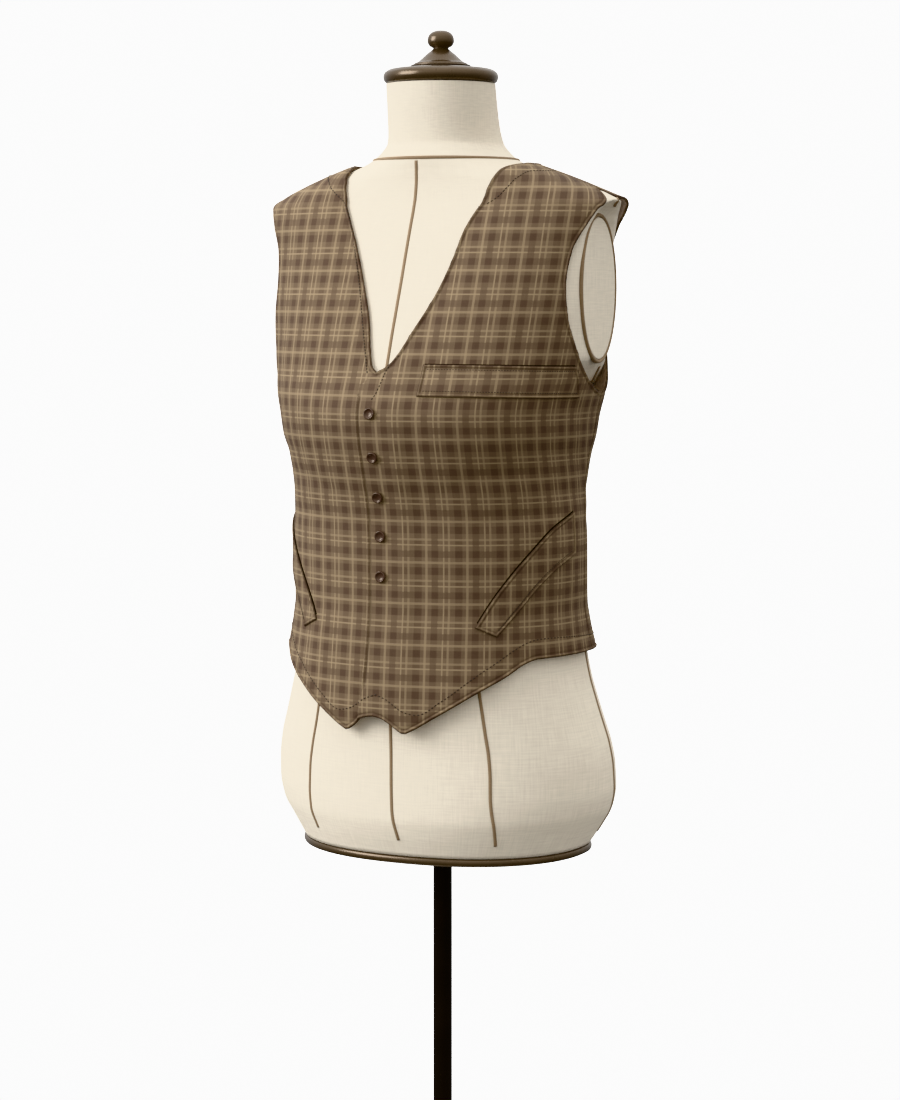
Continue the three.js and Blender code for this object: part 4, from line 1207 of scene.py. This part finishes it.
def make_panel(name, start, end, hem, place, turn, kind):
    """The grid between the start and the end edge, whose columns are close together near both. turn is
    1 on the wearer's left and -1 on the right, where the angles and the columns' order are mirrored."""
    share = near_both_ends(PANEL_WIDTH, PANEL_COLUMNS)
    foot = hem(turn * (start(HEM_LOOKUP) * (1 - share) + end(HEM_LOOKUP) * share))
    above = np.concatenate([NEAR_EDGE, np.linspace(NEAR_EDGE[-1], HEM_BAND, HEM_BAND_ROWS)[1:]])
    low = foot[None, :] + above[:, None]
    blend = np.arange(1, BLEND_ROWS)[:, None] / BLEND_ROWS
    middle = low[-1:] + (HEM_FOLLOW - low[-1:]) * blend
    high = np.concatenate(level_rows(PANEL_SPANS) + [TOP_ROWS])
    z = np.concatenate([low, middle, np.broadcast_to(high[:, None], (len(high), len(share)))])
    angle = turn * (start(z) * (1 - share) + end(z) * share)
    if turn < 0:
        angle, z = angle[:, ::-1], z[:, ::-1]
    centre = place(angle, z, -WALL / 2)
    normal = outward(figure, angle, z)
    first, last = (0, -1) if turn > 0 else (-1, 0)
    start_line, end_line = centre[:, first], centre[:, last]
    outer_line, level = (end_line, z[:, last]) if kind == "front" else (start_line, z[:, first])
    free = [centre[0], centre[-1], outer_line[(level >= ARMHOLE_BOTTOM) & (level <= SHOULDER_START)]]
    seam = [outer_line[level <= ARMHOLE_BOTTOM], outer_line[level >= SHOULDER_START]]
    lap, plain = [FAR_AWAY], [FAR_AWAY]
    if kind == "front":
        level = z[:, first]
        free.append(start_line[level >= LAP_LEVELS[2]])
        lap = [start_line[(level >= LAP_LEVELS[0]) & (level <= LAP_LEVELS[1])]]
        plain = [start_line[level <= LAP_LEVELS[2]]]
    else:
        seam.append(end_line)
    outer, inner, tone, inner_light = rolled_wall(centre, normal, *map(points_of, (free, seam, lap, plain)))
    across = girth(angle, z)
    if kind == "back":
        across = across - turn * np.abs(girth(turn * CENTRE_BACK + 0 * angle, z))
    uv = np.stack([across, centre[..., 2]], axis=-1) * MM
    panel = closed_sheet(name, outer, inner, uv, tone, inner_light)
    print(name, outer.shape[:2], triangles(panel), "triangles")
    return panel


def seam_side(armhole, sign):
    """The outer edge, moved by half of the seam's gap."""
    return lambda z: side_angle(armhole, z) + sign * np.degrees(SEAM_GAP / 2 / FIGURE_RADIUS)


def left_edge(z):
    return through(LEFT_EDGE, z)


def right_edge(z):
    return through(RIGHT_EDGE, z)


def centre_back(z):
    return CENTRE_BACK - np.degrees(SEAM_GAP / 2 / BACK_HALF_WIDTH) + 0 * z


# %% Cut and sew the four panels
front_side, back_side = seam_side(FRONT_ARMHOLE, -1), seam_side(BACK_ARMHOLE, 1)
front_left = make_panel("cloth_front_left", left_edge, front_side, hem_of, left_cloth, 1, "front")
front_right = make_panel("cloth_front_right", right_edge, front_side, under_hem, cloth, -1, "front")
back_left = make_panel("cloth_back_left", back_side, centre_back, hem_of, cloth, 1, "back")
back_right = make_panel("cloth_back_right", back_side, centre_back, hem_of, cloth, -1, "back")
for panel, node in ((front_left, "front_left"), (front_right, "front_right"),
                    (back_left, "back_left"), (back_right, "back_right")):
    finish_piece(panel, wool, "waistcoat_cloth", node)

# %% [markdown]
# ## Welts and their pocket mouths
# A welt is a strip of the same cloth, folded and sewn over the pocket's mouth. The chest welt is nearly
# level. The lower ones run down from the side seam in a curve. Each is a grid on the panel's surface,
# moved out, with the same rolled rim and painted rim shade all round. The shadow in the pocket's mouth is
# painted as a dark strip along the upper edge.

# %% Welts
WELT_WALL = 1.5
WELT_LIFT = 0.25

# Share from the side seam down to the front, mouth edge's angle and level, foot edge's angle and level
LOWER_WELT = np.array([
    (0, 81, 1018.5, 81.5, 976), (0.25, 66, 1002.5, 68.5, 962.5), (0.5, 52.6, 974.6, 58.7, 945),
    (0.75, 41.5, 941, 50, 921.5), (1, 33.2, 907, 41.2, 897.5),
])
CHEST_TOP, CHEST_BOTTOM, CHEST_START = 1164.5, 1133.5, 13.6
CHEST_END_FOOT, CHEST_END_TOP = 73.4, 68.6
CHEST_CORNER, CORNER_FROM = 5.0, 0.975
WELT_ROUNDING = 0.9
WELT_ROLL = [(0.6, 1.8, 0.8), (-0.5, 3.7, 0.8)]
# Painted shade in the welt's dip and on its rim
WELT_SHADE = [(0.7, 3.4, 0.7)]
WELT_RIM_SHADE = 1.5
WELT_ROWS, WELT_COLUMNS = 16, 60


def chest_place(up, along):
    """Angle and level on the chest welt: straight edges, a leaning right end and its rounded top corner."""
    end = CHEST_END_FOOT + (CHEST_END_TOP - CHEST_END_FOOT) * up
    angle = CHEST_START + (end - CHEST_START) * along
    z = CHEST_BOTTOM + (CHEST_TOP - CHEST_BOTTOM) * up
    near_end = np.clip((along - CORNER_FROM) / (1 - CORNER_FROM), 0, 1)
    return angle, z - CHEST_CORNER * (1 - np.sqrt(1 - near_end ** 2)) * up ** 4


def lower_place(up, along):
    """Angle and level on a lower welt, whose two long edges are smooth curves through a short table."""
    share = 1 - along
    mouth, foot = ([through(LOWER_WELT, share, column) for column in pair] for pair in ((1, 2), (3, 4)))
    return tuple(low + (high - low) * up for low, high in zip(foot, mouth))


def make_welt(name, place, surface, turn, size, material, node):
    """A strip on the panel's surface. size is its length and width, for the rows that crowd its rim."""
    up = near_both_ends(size[1], WELT_ROWS)
    along = near_both_ends(size[0], WELT_COLUMNS)
    angle, z = place(*np.broadcast_arrays(up[:, None], along[None, :]))
    angle = turn * angle
    if turn < 0:
        angle, z = angle[:, ::-1], z[:, ::-1]
    centre = surface(angle, z, WELT_LIFT + WELT_WALL / 2)
    distance = distance_to(centre, points_of((centre[0], centre[-1], centre[:, 0], centre[:, -1])))
    half = WELT_WALL / 2 * quarter_round(distance / WELT_ROUNDING)
    outer, inner = two_faces(centre, outward(figure, angle, z), half, bells(distance, WELT_ROLL))
    # Painted shade on the welt's rim and in its dip
    tone = np.clip(WELT_RIM_SHADE - distance / WELT_ROUNDING, 0, 1) + bells(distance, WELT_SHADE)
    uv = np.stack([girth(angle, z), centre[..., 2]], axis=-1) * MM
    welt = closed_sheet(name, outer, inner, uv, np.clip(tone, 0, 1), 0 * tone)
    return finish_piece(welt, material, "waistcoat_cloth", node)


# The chest welt's check runs the other way round, and its repeat is this long. The lower welts' check
# nearly meets the panel's
CHEST_REPEAT, CHEST_SHIFT = 44.0, -67.5
LOWER_SHIFT, LOWER_RISE = 2.0, 1.0
CHEST_SIZE, LOWER_SIZE = (170, 31), (170, 30)
chest_wool = make_wool("checked_wool_chest_welt", run=-REPEAT / CHEST_REPEAT, across=CHEST_SHIFT)
lower_wool = make_wool("checked_wool_lower_welts", across=LOWER_SHIFT, up=LOWER_RISE)
welts = [
    make_welt("welt_chest_cloth", chest_place, left_cloth, 1, CHEST_SIZE, chest_wool, "welt_chest"),
    make_welt("welt_left_cloth", lower_place, cloth, 1, LOWER_SIZE, lower_wool, "welt_left"),
    make_welt("welt_right_cloth", lower_place, cloth, -1, LOWER_SIZE, lower_wool, "welt_right"),
]
print("welts", [triangles(piece) for piece in welts])


# %% Pocket mouths
MOUTH_UP, MOUTH_OFF = 0.5, 0.15
MOUTH_STEP = 2.0
MOUTH_LOOKUPS = 120
MOUTH_PROUD, MOUTH_SINK, MOUTH_POINTS = 0.35, 0.3, 6


def on_cloth(surface, off, angle, z, step):
    """Points at equal steps along a line that lies a little off the cloth, and the figure's normals."""
    return along_surface(lambda a, level: surface(a, level, off), figure, angle, z, step)


def make_mouth(name, place, surface, turn, reach, width):
    """A narrow strip of painted shadow along the upper edge of a welt, where the mouth of the pocket is in
    shadow.
    """
    along = np.linspace(*reach, MOUTH_LOOKUPS)
    angle, z = place(np.ones_like(along), along)
    points, normals = on_cloth(surface, MOUTH_OFF, turn * angle, z + MOUTH_UP, MOUTH_STEP)
    mouth = carried(name, points, normals, half_round(width, MOUTH_PROUD, MOUTH_SINK, MOUTH_POINTS))
    return finish_piece(mouth, mouth_shadow, "waistcoat_cloth")


mouths = [
    make_mouth("mouth_chest", chest_place, left_cloth, 1, (0.01, 0.975), 0.9),
    make_mouth("mouth_left", lower_place, cloth, 1, (0.03, 0.985), 1.4),
    make_mouth("mouth_right", lower_place, cloth, -1, (0.03, 0.985), 1.7),
]
print("mouths", len(mouths))

# %% [markdown]
# ## Stitching
# The rows of small dark stitches above the hem, along the neck and inside the welts are what shows of
# the sewing. Each stitch is one small spindle of thread. Thousands of separate objects would be slow, so
# a row is one mesh: the same few faces, copied to every place on the row with numpy.

# %% Stitch rows
STITCH_SIDES = 6
STITCH_RINGS = np.array([(-1.0, 0.25), (-0.6, 0.85), (0.0, 1.0), (0.6, 0.85), (1.0, 0.25)])
STITCH_TIP = 1.08
STITCH_LENGTHS = (0.85, 1.1)
STITCH_LEAN = 0.06
STITCH_FLATNESS = 0.4


def stitch_pattern():
    """A spindle along X: rings at shares of its half length, with shares of its half width, and fans at
    its two tips."""
    roll = np.radians(ring_angles(STITCH_SIDES))
    at, wide = STITCH_RINGS[:, :1], STITCH_RINGS[:, 1:]
    rings = np.stack(np.broadcast_arrays(at, wide * np.cos(roll), wide * np.sin(roll)), axis=-1)
    points = np.concatenate([rings.reshape(-1, 3), [[-STITCH_TIP, 0, 0], [STITCH_TIP, 0, 0]]])
    quads = grid_quads(len(STITCH_RINGS), STITCH_SIDES, wrap_columns=True)
    return points, quads, end_fans(len(STITCH_RINGS), STITCH_SIDES)


def make_stitches(name, points, normals, length, width, seed):
    """A stitch at every point, laid along the row, each a little longer or shorter and turned a little."""
    pattern, quads, tris = stitch_pattern()
    chance = np.random.default_rng(seed)
    count = len(points)
    ahead = unit(np.gradient(points, axis=0))
    up = unit(normals - (normals * ahead).sum(axis=1, keepdims=True) * ahead)
    side = np.cross(up, ahead)
    ahead = unit(ahead + side * chance.normal(0, STITCH_LEAN, (count, 1)))
    side = np.cross(up, ahead)
    sizes = np.stack([length / 2 * chance.uniform(*STITCH_LENGTHS, count), np.full(count, width / 2),
                      np.full(count, width * STITCH_FLATNESS)], axis=1)
    axes = np.stack([ahead, side, up], axis=1) * sizes[:, :, None]
    placed = np.einsum("pk,ckx->cpx", pattern, axes) + points[:, None]
    shift = (np.arange(count) * len(pattern))[:, None, None]
    row = new_mesh(name, placed.reshape(-1, 3), quads[None] + shift, tris[None] + shift)
    return finish_piece(row, thread, "waistcoat_cloth")


# Angle and level along each row. The right side's hem has the left one's mirror image round the notch
HEM_STITCH = np.array([
    (-3, 838.6), (0.5, 835.2), (8, 822.2), (11.5, 820.4), (20, 834.2), (36.4, 865.8), (55.5, 892.3),
    (60, 893.6), (107.9, 888.7), (183, 888.7),
])
HEM_STITCH_RIGHT = HEM_STITCH * [-1, 1] + [2 * HEM_CENTRE, 0]
NECK_STITCH_LEFT = np.array([
    (88, 1353), (75, 1352.6), (59.9, 1352), (44, 1345.6), (34.4, 1336.5), (27.6, 1327.2), (24.6, 1323),
])
NECK_STITCH_RIGHT = np.array([
    (-88, 1353), (-60, 1350.5), (-40.2, 1341.5), (-23.3, 1321.6), (-16, 1262), (-8.5, 1181), (-6, 1156.6),
])
V_STITCH = np.array([(4.6, 1172), (1.6, 1158.9), (0.1, 1142.5), (-1.1, 1133.4), (-1.9, 1130)])
ROW_LENGTH, ROW_WIDTH, ROW_STEP = 2.5, 1.15, 4.7
ROW_LIFT = 0.15
ROW_LOOKUPS = 500
LAP_AT, LAP_CLEAR = -9.0, 0.6
WELT_LENGTH, WELT_WIDTH, WELT_STEP = 1.9, 0.9, 2.95
WELT_STITCH_SINK = 0.05
WELT_LOOKUPS = 200


def curve_rows(rows, key):
    """A smooth curve through rows of angle and level, worked out from the column key, which only grows
    or only falls along the row."""
    ordered = rows[np.argsort(rows[:, key])]
    if key:
        ordered = ordered[:, ::-1]
    at = np.linspace(ordered[0, 0], ordered[-1, 0], ROW_LOOKUPS)
    other = through(ordered, at)
    return (other, at) if key else (at, other)


def stitch_row(name, rows, surface, seed, key=0, reach=(-180, 180)):
    """Stitches along a row, where its angle is inside the reach."""
    angle, z = curve_rows(rows, key)
    inside = (angle > reach[0]) & (angle < reach[1])
    points, normals = on_cloth(surface, ROW_LIFT, angle[inside], z[inside], ROW_STEP)
    return make_stitches(name, points, normals, ROW_LENGTH, ROW_WIDTH, seed)


def welt_stitches(name, place, surface, turn, up, reach, seed):
    """Stitches along a welt at a share of its width up, between two shares of its length."""
    along = np.linspace(*reach, WELT_LOOKUPS)
    angle, z = place(np.full_like(along, up), along)
    off = WELT_LIFT + WELT_WALL - WELT_STITCH_SINK
    points, normals = on_cloth(surface, off, turn * angle, z, WELT_STEP)
    return make_stitches(name, points, normals, WELT_LENGTH, WELT_WIDTH, seed)


stitches = [
    stitch_row("stitch_hem_left", HEM_STITCH, left_cloth, 11),
    stitch_row("stitch_hem_lap", HEM_STITCH_RIGHT, left_cloth, 12, reach=(LAP_AT + LAP_CLEAR, 180)),
    stitch_row("stitch_hem_right", HEM_STITCH_RIGHT, cloth, 13, reach=(-180, LAP_AT - LAP_CLEAR)),
    stitch_row("stitch_neck_left", NECK_STITCH_LEFT, cloth, 14),
    stitch_row("stitch_neck_right", NECK_STITCH_RIGHT, cloth, 15, key=1),
    stitch_row("stitch_neck_point", V_STITCH, left_cloth, 16, key=1),
    welt_stitches("stitch_welt_chest_top", chest_place, left_cloth, 1, 0.84, (0.035, 0.955), 21),
    welt_stitches("stitch_welt_chest_foot", chest_place, left_cloth, 1, 0.16, (0.035, 0.965), 22),
    welt_stitches("stitch_welt_left_foot", lower_place, cloth, 1, 0.15, (0.06, 0.93), 23),
    welt_stitches("stitch_welt_right_foot", lower_place, cloth, -1, 0.15, (0.06, 0.93), 24),
]
print("stitch rows", len(stitches), "with", sum(map(triangles, stitches)), "triangles")

# %% [markdown]
# ## Buttons
# Five small buttons of dark horn with a rounded rim and a dished face, so that each catches one bright
# spot low in the dish. Each stands on a short shank of thread. They are turned like the cap, and then
# laid on the cloth with the cloth's own normal as their axis.

# %% Buttons on their shanks
BUTTON_X = -6
BUTTON_LEVELS = [1117.5, 1077.5, 1037.5, 996.5, 956]
BUTTON_GAP = 0.5
BUTTON_AROUND, SHANK_AROUND = 40, 12
BUTTON_PROFILE = [(0, 0), (4.2, 0), (5.5, 0.7), (5.8, 1.7), (5.5, 2.7), (4.9, 3.1), (4.2, 2.9), (3.7, 2.2),
                  (2.6, 1.65), (1.3, 1.4), (0, 1.35)]
SHANK_PROFILE = [(0, -1.6), (1.3, -1.6), (1.1, -0.7), (1.4, 0.2), (0, 0.2)]


def laid(name, profile, around, place, axis):
    """A lathe profile whose axis is turned to a direction: rings in the plane of two vectors across it."""
    line = cut_corners(profile)[1:-1]
    turn = np.radians(ring_angles(around))
    across = unit(np.cross([0, 0, 1.0], axis))
    up = np.cross(axis, across)
    rings = (place + line[:, :1, None] * (np.cos(turn)[:, None] * across + np.sin(turn)[:, None] * up)[None]
             + line[:, 1:, None] * axis)
    return stacked(name, rings)


def make_button(i, z):
    """A button on its shank, at one place across the front, whatever the form's width there."""
    half = float(through(FIGURE, z))
    angle = np.degrees([math.asin(BUTTON_X / (half + EASE))])
    level = np.array([float(z)])
    axis = outward(figure, angle, level)[0]
    place = left_cloth(angle, level, BUTTON_GAP)[0]
    face = laid(f"horn_button_{i}", BUTTON_PROFILE, BUTTON_AROUND, place, axis)
    button = finish_piece(face, horn, "button", f"button_{i}")
    finish_piece(laid(f"shank_{i}", SHANK_PROFILE, SHANK_AROUND, place, axis), thread, "button")
    return button


buttons = [make_button(i, z) for i, z in enumerate(BUTTON_LEVELS, 1)]
print("buttons", len(buttons), "of", triangles(buttons[0]), "triangles")

# %% [markdown]
# ## The cloth's areas
# Each panel and welt is a sheet of cloth that was cut flat. Its flat size is the cut piece's width and
# length, and its area is half of the closed mesh's whole surface, in square metres. The area and its share
# of the flat rectangle are printed.


SHEETS = {
    "cloth_front_left": ((0.285, 0.60), "linen_torso",
                         ["stitch_hem_left", "stitch_hem_lap", "stitch_neck_left", "stitch_neck_point"]),
    "cloth_front_right": ((0.265, 0.60), "linen_torso", ["stitch_hem_right", "stitch_neck_right"]),
    "cloth_back_left": ((0.235, 0.52), "linen_torso", []),
    "cloth_back_right": ((0.235, 0.52), "linen_torso", []),
    "welt_chest_cloth": ((0.183, 0.032), "cloth_front_left",
                         ["stitch_welt_chest_top", "stitch_welt_chest_foot"]),
    "welt_left_cloth": ((0.175, 0.042), "cloth_front_left", ["stitch_welt_left_foot"]),
    "welt_right_cloth": ((0.175, 0.042), "cloth_front_right", ["stitch_welt_right_foot"]),
}
for name, (flat, rests, rows) in SHEETS.items():
    sheet = bpy.data.objects[name]
    area = float(read(sheet.data.polygons, "area", np.float32).sum()) / 2
    share = area / (flat[0] * flat[1])
    print(name, "area", round(area, 4), "share of its rectangle", round(share, 2))

# %% [markdown]
# ## Light and floor
# A big soft light from the upper left lights the front, and a white surround fills the shadows. The
# floor is a pale disc under the foot.

# %% Lights, surround and floor
KEY_ENERGY = 98
KEY_SIZE = 2.0
KEY_TURN = math.radians(-47)
KEY_RISE = math.radians(21)
KEY_DISTANCE = 3.2
AIM = np.array([0, 0, 1.1])
FILL_LEVEL = 0.695
FILL_SLOPE = 1.15
FILL_LEAST = 0.10
SEEN_LEVEL = 2.5
FILL_COLOUR, SEEN_COLOUR = (1.0, 0.99, 0.975, 1), (1, 1, 1, 1)


def add_light(name, place, aim, energy, size):
    """A square area light at a place, turned to its aim."""
    data = bpy.data.lights.new(name, "AREA")
    data.energy = energy
    data.size = size
    light = bpy.data.objects.new(name, data)
    light.location = place
    x, y, z = aim - place
    light.rotation_euler = (math.atan2(math.hypot(x, y), -z), 0, math.atan2(-x, y))
    bpy.context.scene.collection.objects.link(light)


def set_surround():
    """White where the camera looks past the object. Everything else gets a fill that is bright from above
    and grows weaker toward the ground, by the height of its direction."""
    world = bpy.data.worlds.new("surround")
    bpy.context.scene.world = world
    world.use_nodes = True
    tree = world.node_tree
    tree.nodes.clear()
    seen = add(tree, "ShaderNodeBackground", inputs={"Color": SEEN_COLOUR, "Strength": SEEN_LEVEL})
    way = add(tree, "ShaderNodeTexCoord").outputs["Generated"]
    height = add(tree, "ShaderNodeSeparateXYZ", inputs={0: way})
    rising = maths(tree, "MULTIPLY_ADD", height.outputs[2], FILL_SLOPE, FILL_LEVEL)
    strength = maths(tree, "MAXIMUM", rising, FILL_LEAST)
    fill = add(tree, "ShaderNodeBackground", inputs={"Color": FILL_COLOUR, "Strength": strength})
    looked = add(tree, "ShaderNodeLightPath").outputs["Is Camera Ray"]
    choice = add(tree, "ShaderNodeMixShader", inputs={0: looked, 1: fill.outputs[0], 2: seen.outputs[0]})
    add(tree, "ShaderNodeOutputWorld", inputs={"Surface": choice.outputs[0]})


FLOOR_RADIUS, FLOOR_AROUND = 520.0, 128
FLOOR_INSETS = np.array([10.0, 0.0, 0.0, 10.0])
FLOOR_LEVELS = np.array([-10.0, -8.0, -3.0, -1.0])
FLOOR_DARK, FLOOR_LIGHT = (0.56, 0.555, 0.54, 1), (0.62, 0.61, 0.60, 1)


def add_floor():
    """A thin pale disc under the foot."""
    turn = np.radians(ring_angles(FLOOR_AROUND))
    radii = (FLOOR_RADIUS - FLOOR_INSETS)[:, None]
    floor = stacked("floor", np.stack(np.broadcast_arrays(
        radii * np.cos(turn), radii * np.sin(turn), FLOOR_LEVELS[:, None]), axis=-1))
    material, tree, shader = new_material("pale_floor", Roughness=0.9)
    patches = use_group(tree, patch_group, Size_mm=400.0, Contrast=0.2).outputs[0]
    link(tree, blend_colours(tree, patches, FLOOR_DARK, FLOOR_LIGHT), shader.inputs["Base Color"])
    floor.data.materials.append(material)


key_way = np.array([math.sin(KEY_TURN) * math.cos(KEY_RISE), -math.cos(KEY_TURN) * math.cos(KEY_RISE),
                    math.sin(KEY_RISE)])
add_light("key", AIM + KEY_DISTANCE * key_way, AIM, KEY_ENERGY, KEY_SIZE)
set_surround()
add_floor()
bpy.context.scene.view_settings.view_transform = "Khronos PBR Neutral"
